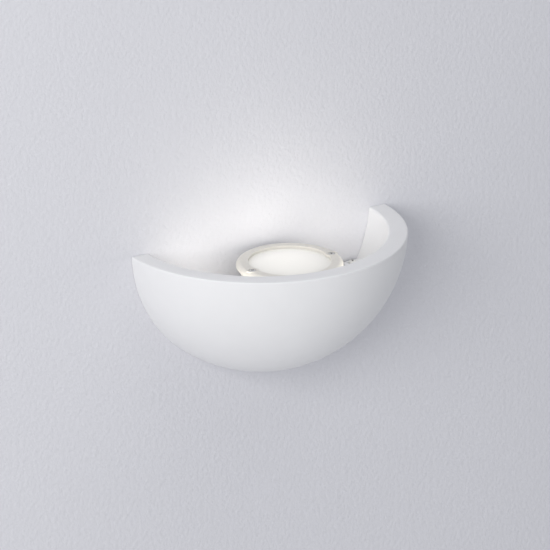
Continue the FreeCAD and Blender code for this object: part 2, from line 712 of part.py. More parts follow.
def build_wall_bracket():
    """One folded sheet: wall plate, shelf with two side tabs, and two side gussets."""
    body = new_body("wall_bracket")
    plate = new_sketch(body, "XZ")
    width, foot = s.plate_half_width, -s.plate_drop
    draw_outline(
        plate,
        [
            (-width, s.shelf_top),
            (-width, foot + s.plate_round),
            (-width + s.plate_round, foot, s.plate_round),
            (width - s.plate_round, foot),
            (width, foot + s.plate_round, s.plate_round),
            (width, s.shelf_top),
        ],
    )
    pad(body, plate, s.sheet, "plate")
    shelf = new_sketch(body, "XY", shelf_under)
    right = [
        (tab_reach, 0),
        (tab_reach, -(s.tab_depth - s.tab_round)),
        (tab_reach - s.tab_round, -s.tab_depth, -s.tab_round),
        (s.shelf_half_width + s.shelf_neck_round, -s.tab_depth),
        (s.shelf_half_width, -(s.tab_depth + s.shelf_neck_round), s.shelf_neck_round),
        (s.shelf_half_width, -(shelf_reach - s.shelf_round)),
        (s.shelf_half_width - s.shelf_round, -shelf_reach, -s.shelf_round),
    ]
    # the left half has the same corners in reverse, each arc kept with the corner that it ends at
    arcs_after = [corner[2] if len(corner) == 3 else None for corner in right[1:]] + [None]
    left = [
        (-corner[0], corner[1]) if arc is None else (-corner[0], corner[1], arc)
        for corner, arc in reversed(list(zip(right, arcs_after)))
    ]
    draw_outline(shelf, right + left)
    pad(body, shelf, s.sheet, "shelf")
    gusset = new_sketch(body, "YZ", s.shelf_half_width - s.sheet)
    draw_outline(
        gusset,
        [
            (-s.sheet, shelf_under),
            (-s.gusset_reach, shelf_under),
            (-s.gusset_reach, shelf_under - s.sheet),
            (-s.sheet * 3, -s.gusset_drop),
            (-s.sheet, -s.gusset_drop),
        ],
    )
    gusset_pad = pad(body, gusset, s.sheet, "gusset")
    collar = new_sketch(body, "XY", shelf_under)
    tapped = s.m4_radius + s.thread_gap
    draw_circle(collar, lug_x, lug_y, tapped + s.collar_wall)
    collar_pad = pad(body, collar, s.collar_height, "collar", backwards=True)
    mirror(body, [gusset_pad, collar_pad])

    slots = new_sketch(body, "XZ", -PAST)
    for side in (-1, 1):
        draw_outline(slots, slot_corners(side * s.slot_spacing / 2, 0, s.slot_length, s.slot_width))
    draw_circle(slots, 0, s.entry_rise, s.entry_hole)
    pocket(body, slots, s.sheet + 2 * PAST, "slots", backwards=True)

    holes = new_sketch(body, "XY", s.shelf_top + PAST)
    plain = s.m4_radius + s.hole_gap
    draw_circles(holes, [(x, lamp_y + y) for x, y in housing_screw_offsets], plain)
    draw_circle(holes, lead_offset[0], lamp_y + lead_offset[1], s.bush_radius + s.seat_gap)
    draw_circles(holes, [(side * lug_x, lug_y) for side in (-1, 1)], tapped)
    draw_circle(holes, earth_screw_x, earth_screw_y, tapped)
    small = s.m3_radius + s.thread_gap
    draw_circles(holes, [(side * ear_screw_x, ear_screw_y) for side in (-1, 1)], small)
    draw_circle(holes, block_screw_x, block_middle, small)
    pocket(body, holes, s.sheet + s.collar_height + 2 * PAST, "holes")

    def fold(edge):
        box = edge.BoundBox
        level = near(box.ZMin, s.shelf_top) and near(box.ZMax, s.shelf_top)
        return level and near(box.YMin, 0) and near(box.YMax, 0)

    round_edges(body, fold, s.fold_round, "fold")
    return body


def build_entry_grommet():
    """Rubber bush pressed into the wall plate's cable hole."""
    body = new_body("entry_grommet", 0, 0, s.entry_rise)
    sketch = new_sketch(body, "YZ")
    neck = s.entry_hole - s.seat_gap
    flange_end = s.sheet + s.entry_flange_thick
    tip = flange_end + s.entry_nose_length
    draw_outline(
        sketch,
        [
            (0, s.entry_bore), (0, neck), (-s.sheet, neck), (-s.sheet, s.entry_flange),
            (-flange_end, s.entry_flange), (-flange_end, s.entry_nose),
            (-tip, s.entry_nose_tip), (-tip, s.entry_bore),
        ],
    )
    revolve(body, sketch, "H_Axis")
    return body


# ---------------------------------------------------------------- lug fixings


def build_lug_fixings():
    """Rubber pads under the lugs, and a washer and a screw on each."""
    pads, washers, screws = [], [], []
    for side, name in ((-1, "left"), (1, "right")):
        x = side * lug_x
        pad_outline = washer_outline(s.m4_radius + 2 * s.hole_gap, s.pad_radius, s.shelf_top, lug_under)
        pads.append(turned(f"lug_pad_{name}", pad_outline, x, lug_y))
        washer_top = lug_top + s.washer_thick
        ring_outline = washer_outline(s.m4_radius + s.hole_gap, s.washer_radius, lug_top, washer_top)
        washers.append(turned(f"lug_washer_{name}", ring_outline, x, lug_y))
        length = s.washer_thick + s.lug_height + s.pad_height + s.sheet + s.collar_height
        screws.append(
            screw(
                f"bowl_screw_{name}", x, lug_y, washer_top, length,
                s.m4_radius, s.m4_head, s.m4_head_height,
            )
        )
    return [group("lug_pads", pads), group("bowl_washers", washers), group("bowl_screws", screws)]


# ---------------------------------------------------------------- lamp housing


def build_lamp_housing():
    """Die-cast can with cooling fins, a flanged mouth, bosses for the ring screws and a drilled floor."""
    body = new_body("lamp_housing", 0, lamp_y)
    section = new_sketch(body, "XZ")
    draw_outline(
        section,
        [
            (0, s.shelf_top),
            (s.lamp_base_radius, s.shelf_top),
            (s.lamp_top_radius, flange_under),
            (flange_radius, flange_under),
            (flange_radius, mouth_top),
            (pocket_radius, mouth_top),
            (pocket_radius, ledge),
            (s.lamp_bore, ledge),
            (s.lamp_bore, floor_top),
            (0, floor_top),
        ],
    )
    revolve(body, section)
    fin = new_sketch(body, "XY", s.shelf_top + s.fin_foot)
    # the fins start half a step round, so that one of them runs up to each ring-screw boss
    half_step = HALF_TURN / s.fin_count
    fin_root = (s.lamp_bore + s.lamp_base_radius) / 2
    draw_outline(fin, radial_corners(fin_root, s.fin_reach, s.fin_thick, half_step))
    fin_pad = pad(body, fin, flange_under - s.shelf_top - s.fin_foot, "fin")
    repeat_round(body, [fin_pad], s.fin_count)

    bosses = new_sketch(body, "XY", flange_under - s.ring_boss_depth)
    draw_circles(bosses, ring_screw_offsets, s.ring_boss_radius)
    pad(body, bosses, s.ring_boss_depth, "ring_bosses")
    feet = new_sketch(body, "XY", floor_top)
    draw_circles(feet, housing_screw_offsets, s.floor_boss_radius)
    pad(body, feet, s.floor_boss_rise, "floor_bosses")

    ring_holes = new_sketch(body, "XY", mouth_top)
    draw_circles(ring_holes, ring_screw_offsets, s.m35_radius + s.thread_gap)
    pocket(body, ring_holes, s.flange_height + s.ring_boss_depth - s.blind_rest, "ring_holes")
    foot_holes = new_sketch(body, "XY", s.shelf_top)
    draw_circles(foot_holes, housing_screw_offsets, s.m4_radius + s.thread_gap)
    pocket(body, foot_holes, s.lamp_floor + s.floor_boss_rise - s.blind_rest, "foot_holes", backwards=True)
    board_holes = new_sketch(body, "XY", floor_top)
    draw_circles(board_holes, board_screw_offsets, s.m3_radius + s.thread_gap)
    pocket(body, board_holes, s.lamp_floor - s.board_hole_rest, "board_holes")
    lead_way = new_sketch(body, "XY", floor_top + PAST)
    draw_circle(lead_way, *lead_offset, s.bush_radius + s.seat_gap)
    pocket(body, lead_way, s.lamp_floor + 2 * PAST, "lead_way")
    return body


def build_housing_screws():
    """Four screws from below, through the shelf into the housing's floor bosses."""
    length = s.sheet + s.lamp_floor + s.floor_boss_rise - s.blind_rest - s.tip_gap
    return group(
        "housing_screws",
        [
            screw(
                f"housing_screw_{number}", x, lamp_y + y, shelf_under, length,
                s.m4_radius, s.m4_head, s.m4_head_height, upwards=True,
            )
            for number, (x, y) in enumerate(housing_screw_offsets, start=1)
        ],
    )


def build_lead_grommet():
    """Rubber bush that takes the lamp lead through shelf and housing floor."""
    under = shelf_under - s.bush_flange_thick
    return turned(
        "lead_grommet",
        [
            (lead_hole_radius, under), (s.bush_flange, under), (s.bush_flange, shelf_under),
            (s.bush_radius, shelf_under), (s.bush_radius, floor_top), (lead_hole_radius, floor_top),
        ],
        lead_offset[0], lamp_y + lead_offset[1],
    )


# ---------------------------------------------------------------- light source


def build_board_disc(label, radius, low, high, screw_hole, lead_hole):
    """A round plate on the housing floor, drilled for the board screws and the lead."""
    body = new_body(label, 0, lamp_y)
    sketch = new_sketch(body, "XY", low)
    draw_circle(sketch, 0, 0, radius)
    draw_circles(sketch, board_screw_offsets, screw_hole)
    draw_circle(sketch, *lead_offset, lead_hole)
    pad(body, sketch, high - low)
    return body


def build_light_source():
    clear = s.m3_radius + s.hole_gap
    way = s.lamp_lead_radius + 5 * s.wire_gap
    pad_radius = s.board_radius - s.thermal_pad_inset
    thermal_pad = build_board_disc("thermal_pad", pad_radius, floor_top, board_under, clear, way)
    board = build_board_disc("led_board", s.board_radius, board_under, board_top, clear, way)

    chips = []
    outer_count, inner_count = 12, 6
    places = [(s.inner_chip_circle, FULL_TURN * number / inner_count) for number in range(inner_count)]
    places += [
        (s.outer_chip_circle, FULL_TURN * number / outer_count)
        for number in range(outer_count)
        if not near(FULL_TURN * number / outer_count, s.lead_angle)  # the connector takes this chip's place
    ]
    for number, (radius, angle) in enumerate(places, start=1):
        chip = doc.addObject("Part::Box", f"chip_{number}")
        bind(chip, "Length", s.chip_width)
        bind(chip, "Width", s.chip_length)
        bind(chip, "Height", s.chip_height)
        chip.Placement.Rotation = FreeCAD.Rotation(Vector(0, 0, 1), angle)
        inner, side = radius - s.chip_width / 2, s.chip_length / 2
        bind_place(
            chip,
            inner * cosine(angle) + side * sine(angle),
            lamp_y + inner * sine(angle) - side * cosine(angle),
            board_top,
        )
        chips.append(chip)

    connector = new_body("board_connector", 0, lamp_y)
    outline = new_sketch(connector, "XY", board_top)
    inner_end = s.connector_circle - s.connector_length
    draw_outline(outline, radial_corners(inner_end, s.connector_circle, s.connector_width, s.lead_angle))
    pad(connector, outline, s.connector_height)

    reflector = new_body("reflector", 0, lamp_y)
    section = new_sketch(reflector, "XZ")
    top_outer = s.lamp_bore - s.reflector_play
    draw_outline(
        section,
        [
            (s.reflector_foot, board_top),
            (s.board_radius, board_top),
            (s.board_radius, reflector_flange_top),
            (s.reflector_foot + s.reflector_wall, reflector_flange_top),
            (top_outer, ledge),
            (top_outer - s.reflector_wall, ledge),
            (s.reflector_foot, reflector_flange_top),
        ],
    )
    revolve(reflector, section)
    holes = new_sketch(reflector, "XY", reflector_flange_top)
    draw_circles(holes, board_screw_offsets, clear)
    pocket(reflector, holes, s.reflector_flange, "screw_holes")

    through = s.reflector_flange + s.board_thick + s.thermal_pad_thick
    length = through + s.lamp_floor - s.board_hole_rest - s.tip_gap
    screws = group(
        "board_screws",
        [
            screw(
                f"board_screw_{number}", x, lamp_y + y, reflector_flange_top, length,
                s.m3_radius, s.m3_head, s.m3_head_height,
            )
            for number, (x, y) in enumerate(board_screw_offsets, start=1)
        ],
    )
    return [thermal_pad, board, group("led_chips", chips), connector, reflector, screws]


# ---------------------------------------------------------------- glass and clamp ring


def dome_radius(half_width, rise):
    return (half_width * half_width + rise * rise) / (2 * rise)


def build_glass_and_ring():
    """Gasket, domed opal glass, clamp ring with two eared screw seats, and its screws."""
    gasket_outline = washer_outline(s.lamp_bore + s.reflector_play, s.glass_radius, ledge, glass_under)
    gasket = turned("lens_gasket", gasket_outline, 0, lamp_y)
    shoulder = s.glass_radius - s.glass_flat
    inner_shoulder = shoulder - s.glass_flat
    glass = turned(
        "diffuser_glass",
        [
            (0, glass_under + s.glass_dome),
            (inner_shoulder, glass_under, -dome_radius(inner_shoulder, s.glass_dome)),
            (s.glass_radius, glass_under),
            (s.glass_radius, mouth_top),
            (shoulder, mouth_top),
            (0, mouth_top + s.glass_dome, dome_radius(shoulder, s.glass_dome)),
        ],
        0, lamp_y,
    )

    ring = new_body("clamp_ring", 0, lamp_y)
    section = new_sketch(ring, "XZ")
    skirt_inner = s.ring_outer - s.ring_skirt
    skirt_under = ring_top - s.ring_height
    draw_outline(
        section,
        [
            (s.ring_inner, mouth_top),
            (skirt_inner, mouth_top),
            (skirt_inner, skirt_under),
            (s.ring_outer, skirt_under),
            (s.ring_outer, ring_top - s.ring_slope),
            (s.ring_flat, ring_top, s.ring_shoulder),
            (s.ring_inner, ring_top),
        ],
    )
    revolve(ring, section)
    ears = new_sketch(ring, "XY", ring_top - s.ear_sink)
    draw_circles(ears, ring_screw_offsets, s.ear_radius)
    pad(ring, ears, s.ear_sink + s.ear_proud, "ears")
    seats = new_sketch(ring, "XY", ring_top + s.ear_proud)
    draw_circles(seats, ring_screw_offsets, s.ear_bore)
    pocket(ring, seats, s.ear_bore_depth, "seats")
    holes = new_sketch(ring, "XY", ring_top)
    draw_circles(holes, ring_screw_offsets, s.m35_radius + s.hole_gap)
    pocket(ring, holes, s.ring_lip + PAST, "holes")

    seat = ring_top + s.ear_proud - s.ear_bore_depth
    length = seat - mouth_top + s.flange_height + s.ring_boss_depth - s.blind_rest - s.tip_gap
    screws = group(
        "ring_screws",
        [
            screw(
                f"ring_screw_{name}", x, lamp_y + y, seat, length,
                s.m35_radius, s.m35_head, s.m35_head_height,
            )
            for (x, y), name in zip(ring_screw_offsets, ("left", "right"))
        ],
    )
    return [gasket, glass, ring, screws]


# ---------------------------------------------------------------- driver


def build_driver():
    """Base plate with two ears under the shelf, a cover over the circuit board and its main components."""
    back, front = -s.driver_back, -driver_front
    half, corner = s.driver_half_length, s.driver_round
    base = new_body("driver_base")
    plate = new_sketch(base, "XY", cover_top)
    ear_low, ear_high = ear_screw_y - s.ear_half_width, ear_screw_y + s.ear_half_width
    draw_outline(
        plate,
        [
            (half, back), (-half, back), (-half, ear_high), (-ear_tip, ear_high), (-ear_tip, ear_low),
            (-half, ear_low), (-half, front), (half, front), (half, ear_low), (ear_tip, ear_low),
            (ear_tip, ear_high), (half, ear_high),
        ],
    )
    pad(base, plate, s.driver_base)
    holes = new_sketch(base, "XY", shelf_under)
    draw_circles(holes, [(side * ear_screw_x, ear_screw_y) for side in (-1, 1)], s.m3_radius + s.hole_gap)
    pocket(base, holes, s.driver_base, "holes")

    cover = new_body("driver_cover")
    outline = new_sketch(cover, "XY", cover_under)
    draw_outline(outline, [(half, back), (-half, back), (-half, front), (half, front)])
    pad(cover, outline, cover_top - cover_under)

    def upright(edge):
        return edge.BoundBox.ZLength > (cover_top - cover_under).value / 2

    def underside(edge):
        return near(edge.BoundBox.ZMax, cover_under)

    round_edges(cover, upright, corner, "corners")
    round_edges(cover, underside, corner / 2, "underside")
    hollow = new_sketch(cover, "XY", cover_top)
    wall = s.driver_wall
    draw_outline(
        hollow,
        [
            (half - wall, back - wall), (wall - half, back - wall),
            (wall - half, front + wall), (half - wall, front + wall),
        ],
    )
    pocket(cover, hollow, cover_top - cover_under - wall, "hollow")
    ways = new_sketch(cover, "YZ", -half - PAST)
    draw_circle(ways, driver_middle, wire_height, s.wire_radius + s.wire_gap)
    draw_circle(ways, -s.neutral_end, wire_height, s.wire_radius + s.wire_gap)
    pocket(cover, ways, wall + 2 * PAST, "mains_ways", backwards=True)
    lamp_way = new_sketch(cover, "YZ", half + PAST)
    draw_circle(lamp_way, driver_middle, wire_height, lead_hole_radius)
    pocket(cover, lamp_way, wall + 2 * PAST, "lamp_way")

    board = doc.addObject("Part::Box", "driver_board")
    board.Label = "driver_board"
    inset = wall + s.driver_board_play
    bind(board, "Length", 2 * (half - inset))
    bind(board, "Width", s.driver_depth - 2 * inset)
    bind(board, "Height", s.driver_board_thick)
    bind_place(board, -(half - inset), front + inset, board_level)
    return [base, cover, board]


def build_driver_parts():
    """The transformer and two capacitors that hang from the driver's board, clear of the lead ends."""
    core = doc.addObject("Part::Box", "transformer_core")
    coil = doc.addObject("Part::Cylinder", "transformer_coil")
    bind(core, "Length", s.core_length)
    bind(core, "Width", s.core_width)
    bind(core, "Height", core_height)
    bind_place(core, -s.core_length / 2, driver_middle - s.core_width / 2, board_level - core_height)
    bind(coil, "Radius", s.coil_radius)
    bind(coil, "Height", core_height - 2 * s.coil_inset)
    bind_place(coil, 0, driver_middle, board_level - core_height + s.coil_inset)
    transformer = doc.addObject("Part::Fuse", "driver_transformer")
    transformer.Label = "driver_transformer"
    transformer.Base = core
    transformer.Tool = coil
    capacitors = []
    from_wall = s.driver_wall + s.capacitor_radius + s.part_play
    for side, name in ((-1, "left"), (1, "right")):
        capacitor = doc.addObject("Part::Cylinder", f"capacitor_{name}")
        bind(capacitor, "Radius", s.capacitor_radius)
        bind(capacitor, "Height", core_height)
        bind_place(
            capacitor,
            side * (s.driver_half_length - from_wall),
            from_wall - driver_front,
            board_level - core_height,
        )
        capacitors.append(capacitor)
    return [transformer, group("driver_capacitors", capacitors)]


def build_driver_screws():
    return group(
        "driver_screws",
        [
            screw(
                f"driver_screw_{name}", side * ear_screw_x, ear_screw_y, cover_top,
                s.driver_base + s.sheet - s.hole_gap, s.m3_radius, s.m3_head, s.m3_head_height, upwards=True,
            )
            for side, name in ((-1, "left"), (1, "right"))
        ],
    )


# ---------------------------------------------------------------- terminal block


def build_terminal_block():
    """Three-pole block with brass clamps, two screws to a clamp, and one screw that fixes it."""
    poles = [(number, number * s.pole_pitch) for number in (-1, 0, 1)]
    body = new_body("terminal_body")
    outline = new_sketch(body, "XY", block_under)
    half, back, front = s.block_half_length, -s.block_back, -block_front
    draw_outline(outline, [(half, back), (-half, back), (-half, front), (half, front)])
    pad(body, outline, s.block_height)
    bores = new_sketch(body, "XZ", s.block_back)
    draw_circles(bores, [(x, wire_height) for number, x in poles], s.clamp_radius + s.seat_gap)
    pocket(body, bores, s.block_depth, "bores", backwards=True)
    well_places = [
        (x, block_middle + side * s.clamp_screw_spread / 2) for number, x in poles for side in (-1, 1)
    ]
    wells = new_sketch(body, "XY", block_under)
    draw_circles(wells, well_places, s.m3_radius + 2 * s.hole_gap)
    pocket(body, wells, wire_height - block_under, "wells", backwards=True)
    fixing = new_sketch(body, "XY", block_under)
    draw_circle(fixing, block_screw_x, block_middle, s.m3_radius + s.hole_gap)
    pocket(body, fixing, s.block_height, "fixing", backwards=True)
    notch = new_sketch(body, "XZ", s.block_back)
    notch_top = block_under + s.notch_depth
    for side in (-1, 1):
        left = side * s.pole_pitch / 2 - s.notch_width / 2
        right = left + s.notch_width
        corners = [(left, block_under), (right, block_under), (right, notch_top), (left, notch_top)]
        draw_outline(notch, corners)
    pocket(body, notch, s.block_depth, "notches", backwards=True)

    clamps, screws = [], []
    for number, x in poles:
        clamp = new_body(f"clamp_{number + 2}", x)
        circle = new_sketch(clamp, "XZ", s.block_back + s.clamp_inset)
        draw_circle(circle, 0, wire_height, s.clamp_radius)
        draw_circle(circle, 0, wire_height, s.clamp_bore)
        pad(clamp, circle, s.block_depth - 2 * s.clamp_inset)
        taps = new_sketch(clamp, "XY", block_under)
        draw_circles(
            taps,
            [(0, block_middle + side * s.clamp_screw_spread / 2) for side in (-1, 1)],
            s.m3_radius + s.thread_gap,
        )
        pocket(clamp, taps, wire_height - block_under, "taps", backwards=True)
        clamps.append(clamp)
    for number, (x, y) in enumerate(well_places, start=1):
        length = wire_height - s.wire_radius - s.wire_gap - block_under - s.pin_inset
        pin = new_body(f"clamp_screw_{number}", x, y, block_under + s.pin_inset)
        circle = new_sketch(pin, "XY")
        draw_circle(circle, 0, 0, s.m3_radius)
        pad(pin, circle, length)
        slit = new_sketch(pin, "XY")
        end, half = s.m3_radius + PAST, s.slit_width / 2
        draw_outline(slit, [(-end, -half), (end, -half), (end, half), (-end, half)])
        pocket(pin, slit, s.slit_depth, "slit", backwards=True)
        screws.append(pin)
    fixing_screw = screw(
        "terminal_fixing_screw", block_screw_x, block_middle, block_under,
        s.block_height + s.sheet - s.hole_gap, s.m3_radius, s.m3_head, s.m3_head_height, upwards=True,
    )
    return [body, group("terminal_clamps", clamps), group("terminal_screws", screws), fixing_screw]


# ---------------------------------------------------------------- earth point and leads

barrel_radius = s.wire_radius + s.barrel_wall
barrel_height = shelf_under - barrel_radius - s.seat_gap
barrel_start = earth_screw_y - s.tag_radius + s.barrel_wall


def build_earth_point():
    """Ring tag with a crimped barrel, and the screw that holds it against the shelf."""
    tag = new_body("earth_tag")
    eye = new_sketch(tag, "XY", shelf_under)
    draw_circle(eye, earth_screw_x, earth_screw_y, s.tag_radius)
    draw_circle(eye, earth_screw_x, earth_screw_y, s.m4_radius + s.hole_gap)
    pad(tag, eye, s.tag_thick, "eye", backwards=True)
    barrel = new_sketch(tag, "XZ", -barrel_start)
    draw_circle(barrel, earth_screw_x, barrel_height, barrel_radius)
    draw_circle(barrel, earth_screw_x, barrel_height, s.wire_radius + s.seat_gap)
    pad(tag, barrel, s.barrel_length, "barrel")
    earth = screw(
        "earth_screw", earth_screw_x, earth_screw_y, shelf_under - s.tag_thick,
        s.tag_thick + s.sheet + s.earth_screw_past, s.m4_radius, s.m4_head, s.m4_head_height, upwards=True,
    )
    return [tag, earth]


def build_leads():
    """The four leads inside the light, each held by what it joins."""
    clamp_end = block_middle - s.clamp_screw_spread / 2 - s.m3_radius
    driver_end = s.driver_half_length - s.driver_wall - s.lead_into_driver
    hole_x, hole_y = lead_offset[0], lamp_y + lead_offset[1]
    lead_level = board_top + s.lead_above_board
    plug = s.connector_circle + s.seat_gap
    return [
        lead(
            "live_lead",
            [
                (-s.pole_pitch, clamp_end, wire_height),
                (-s.pole_pitch, -s.live_row, wire_height),
                (-s.live_column, -s.live_row, wire_height),
                (-s.live_column, driver_middle, wire_height),
                (-driver_end, driver_middle, wire_height),
            ],
            s.mains_bend, s.wire_radius,
        ),
        lead(
            "neutral_lead",
            [
                (0, clamp_end, wire_height),
                (0, -s.neutral_row, wire_height),
                (-s.neutral_column, -s.neutral_row, wire_height),
                (-s.neutral_column, -s.neutral_end, wire_height),
                (-driver_end, -s.neutral_end, wire_height),
            ],
            s.mains_bend, s.wire_radius,
        ),
        lead(
            "lamp_lead",
            [
                (driver_end, driver_middle, wire_height),
                (s.lamp_column, driver_middle, wire_height),
                (s.lamp_column, hole_y, wire_height),
                (hole_x, hole_y, wire_height),
                (hole_x, hole_y, lead_level),
                (plug * cosine(s.lead_angle), lamp_y + plug * sine(s.lead_angle), lead_level),
            ],
            s.lamp_bend, s.lamp_lead_radius,
        ),
        lead(
            "earth_lead",
            [
                (s.pole_pitch, clamp_end, wire_height),
                (s.pole_pitch, -s.earth_row, wire_height),
                (earth_screw_x, -s.earth_row, wire_height),
                (earth_screw_x, barrel_start - s.barrel_length - s.earth_bend, barrel_height),
                (earth_screw_x, barrel_start - s.barrel_rest, barrel_height),
            ],
            s.earth_bend, s.wire_radius,
        ),
    ]


# ---------------------------------------------------------------- the whole light

nodes = [build_plaster_bowl(), build_wall_bracket(), build_entry_grommet()]
nodes += build_lug_fixings()
nodes += [build_lamp_housing(), build_housing_screws(), build_lead_grommet()]
nodes += build_light_source()
nodes += build_glass_and_ring()
nodes += build_driver()
nodes += build_driver_parts()
nodes.append(build_driver_screws())
nodes += build_terminal_block()
nodes += build_earth_point()
nodes += build_leads()

doc.recompute()
for thing in doc.Objects:
    if "Invalid" in thing.State or "Error" in thing.State:
        raise RuntimeError(f"{thing.Name} did not build: {thing.State}")
for node in nodes:
    if node.Shape.isNull() or not node.Shape.isValid() or not node.Shape.Solids:
        raise RuntimeError(f"{node.Label} has no valid solid")

os.makedirs("parts", exist_ok=True)
for node in nodes:
    node.Shape.exportStep(f"parts/{node.Label}.step")
print(f"{len(nodes)} sub-parts written")
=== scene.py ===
"""Looks of a half-bowl plaster wall light with a lit lamp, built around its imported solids."""

import math

import bmesh
import bpy
import numpy as np
from bpy.props import FloatProperty, FloatVectorProperty, PointerProperty
from bpy.types import Operator, Panel, PropertyGroup
from mathutils import Matrix, Vector


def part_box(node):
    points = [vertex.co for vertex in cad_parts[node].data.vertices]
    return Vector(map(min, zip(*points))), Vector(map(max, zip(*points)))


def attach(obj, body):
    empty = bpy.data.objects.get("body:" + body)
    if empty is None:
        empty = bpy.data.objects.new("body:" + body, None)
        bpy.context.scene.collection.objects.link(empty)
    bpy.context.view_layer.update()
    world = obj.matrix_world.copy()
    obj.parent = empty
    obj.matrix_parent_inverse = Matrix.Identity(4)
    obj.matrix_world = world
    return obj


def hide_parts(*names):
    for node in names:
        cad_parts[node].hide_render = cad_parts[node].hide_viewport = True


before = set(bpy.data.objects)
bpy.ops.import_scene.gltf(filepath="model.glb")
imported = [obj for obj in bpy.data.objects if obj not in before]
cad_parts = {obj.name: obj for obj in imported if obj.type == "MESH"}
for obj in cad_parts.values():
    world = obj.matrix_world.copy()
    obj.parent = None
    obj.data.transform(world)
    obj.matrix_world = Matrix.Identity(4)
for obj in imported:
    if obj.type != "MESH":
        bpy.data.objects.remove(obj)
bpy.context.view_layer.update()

bl_info = {
    "name": "Plaster uplighter",
    "version": (1, 0, 0),
    "blender": (4, 5, 0),
    "location": "3D View > Sidebar > Uplighter",
    "description": "Dresses a half-bowl plaster wall light and its lamp, and sets its stage",
    "category": "Object",
}

MM = 0.001
BODY = "root"
BOWL_LOW, BOWL_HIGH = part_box("plaster_bowl")
GLASS_LOW, GLASS_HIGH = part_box("diffuser_glass")
LAMP_AXIS = (GLASS_LOW + GLASS_HIGH) / 2
M4_HEAD = 4 * MM


# ------------------------------------------------------------------ sizes and colours a user may change


def length(name, words, default, low=0.0, high=1.0):
    return FloatProperty(name=name, description=words, default=default, min=low, max=high, unit="LENGTH", precision=5)


def factor(name, words, default, low=0.0, high=1.0):
    return FloatProperty(name=name, description=words, default=default, min=low, max=high)


def turn(name, words, degrees):
    return FloatProperty(name=name, description=words, default=math.radians(degrees), subtype="ANGLE")


def colour(name, words, default):
    return FloatVectorProperty(name=name, description=words, default=default, size=3, min=0, max=1, subtype="COLOR")


class BowlSettings(PropertyGroup):
    rim_radius: length("Rim radius", "Outside of the rim", BOWL_HIGH.x)
    height: length("Height", "Rim down to the underside", BOWL_HIGH.z - BOWL_LOW.z)
    wall: length("Wall", "Thickness of the plaster", 20 * MM)
    outer_round: length("Outer edge", "Rounding of the rim's outer edge", 1.5 * MM)
    inner_round: length("Inner edge", "Rounding of the rim's inner edge", 2.5 * MM)
    waver: length("Waver", "How far the hand-sanded surface dips from a true ball", 0.12 * MM)
    lug_x: length("Lug screw", "Lug screw from the middle of the light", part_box("bowl_screws")[1].x - M4_HEAD)
    lug_y: length("Lug screw depth", "Lug screw in front of the wall", 11 * MM)
    lug_radius: length("Lug end", "Round end of a lug", 9 * MM)
    lug_height: length("Lug height", "Thickness of a lug", 7 * MM)
    lug_under: length("Lug underside", "Underside of the lugs above the wall screws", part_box("lug_pads")[1].z)
    lug_hole: length("Lug hole", "Radius of the hole for the screw", 2.4 * MM)
    paint: colour("Plaster", "Matt emulsion on the plaster", (0.85, 0.85, 0.855))


class LampSettings(PropertyGroup):
    glass: colour("Opal glass", "Colour of the unlit glass", (0.66, 0.655, 0.63))
    glow: colour("Glow", "Colour of the lit glass", (1.0, 0.965, 0.9))
    glow_strength: factor("Glow strength", "How bright the middle of the lit glass is", 0.37, 0, 10)
    spill: factor("Spill", "How strongly the lit glass lights the wall", 2.3, 0, 50)
    bounce: factor("Bounce", "How strongly the lit hollow of the bowl lights the wall", 2.4, 0, 50)
    ring: colour("Clamp ring", "Satin paint of the clamp ring", (0.76, 0.735, 0.68))
    housing: colour("Housing", "Powder coat of the finned housing", (0.7, 0.7, 0.68))


class StageSettings(PropertyGroup):
    azimuth: turn("Azimuth", "Turn of the camera to the left of the wall's normal", 31.13)
    elevation: turn("Elevation", "Camera above the horizon", 20.9)
    distance: length("Distance", "Camera to the point it aims at", 6.0, 0.1, 100)
    lens: FloatProperty(name="Lens", description="Focal length in millimetres", default=388.0, min=10, max=2000)
    aim_right: length("Aim right", "Aim point right of the middle of the rim", 15.09 * MM, -1)
    aim_down: length("Aim down", "Aim point below the middle of the rim", 45.48 * MM, -1)
    wall: colour("Wall", "Emulsion of the wall", (0.73, 0.73, 0.765))
    floor: colour("Floor", "Pale floor", (0.85, 0.85, 0.86))
    key: factor("Key", "Watts of the soft light from the left", 35.5, 0, 5000)
    top: factor("Top", "Watts of the soft light from above", 8.0, 0, 5000)
    fill: factor("Fill", "Watts of the soft light from the front right", 6.0, 0, 5000)
    sky: factor("Sky", "Strength of the even light all round", 0.38, 0, 10)


# ------------------------------------------------------------------ meshes from arrays


def smooth_object(name, rings, extra=(), shade=None):
    """A surface from arrays of points, each rows by columns by 3, all welded into one object.

    Each face joins a point with its neighbours in the next row and column; rows that shrink to a point close there.
    """
    all_points, all_faces, offset = [], [], 0
    for points in (rings, *extra):
        rows, columns = points.shape[:2]
        index = np.arange(rows * columns).reshape(rows, columns) + offset
        quads = np.stack([index[:-1, :-1], index[:-1, 1:], index[1:, 1:], index[1:, :-1]], axis=-1)
        all_faces.append(quads.reshape(-1, 4))
        all_points.append(points.reshape(-1, 3))
        offset += rows * columns
    return finish_object(name, np.concatenate(all_points), np.concatenate(all_faces), shade)


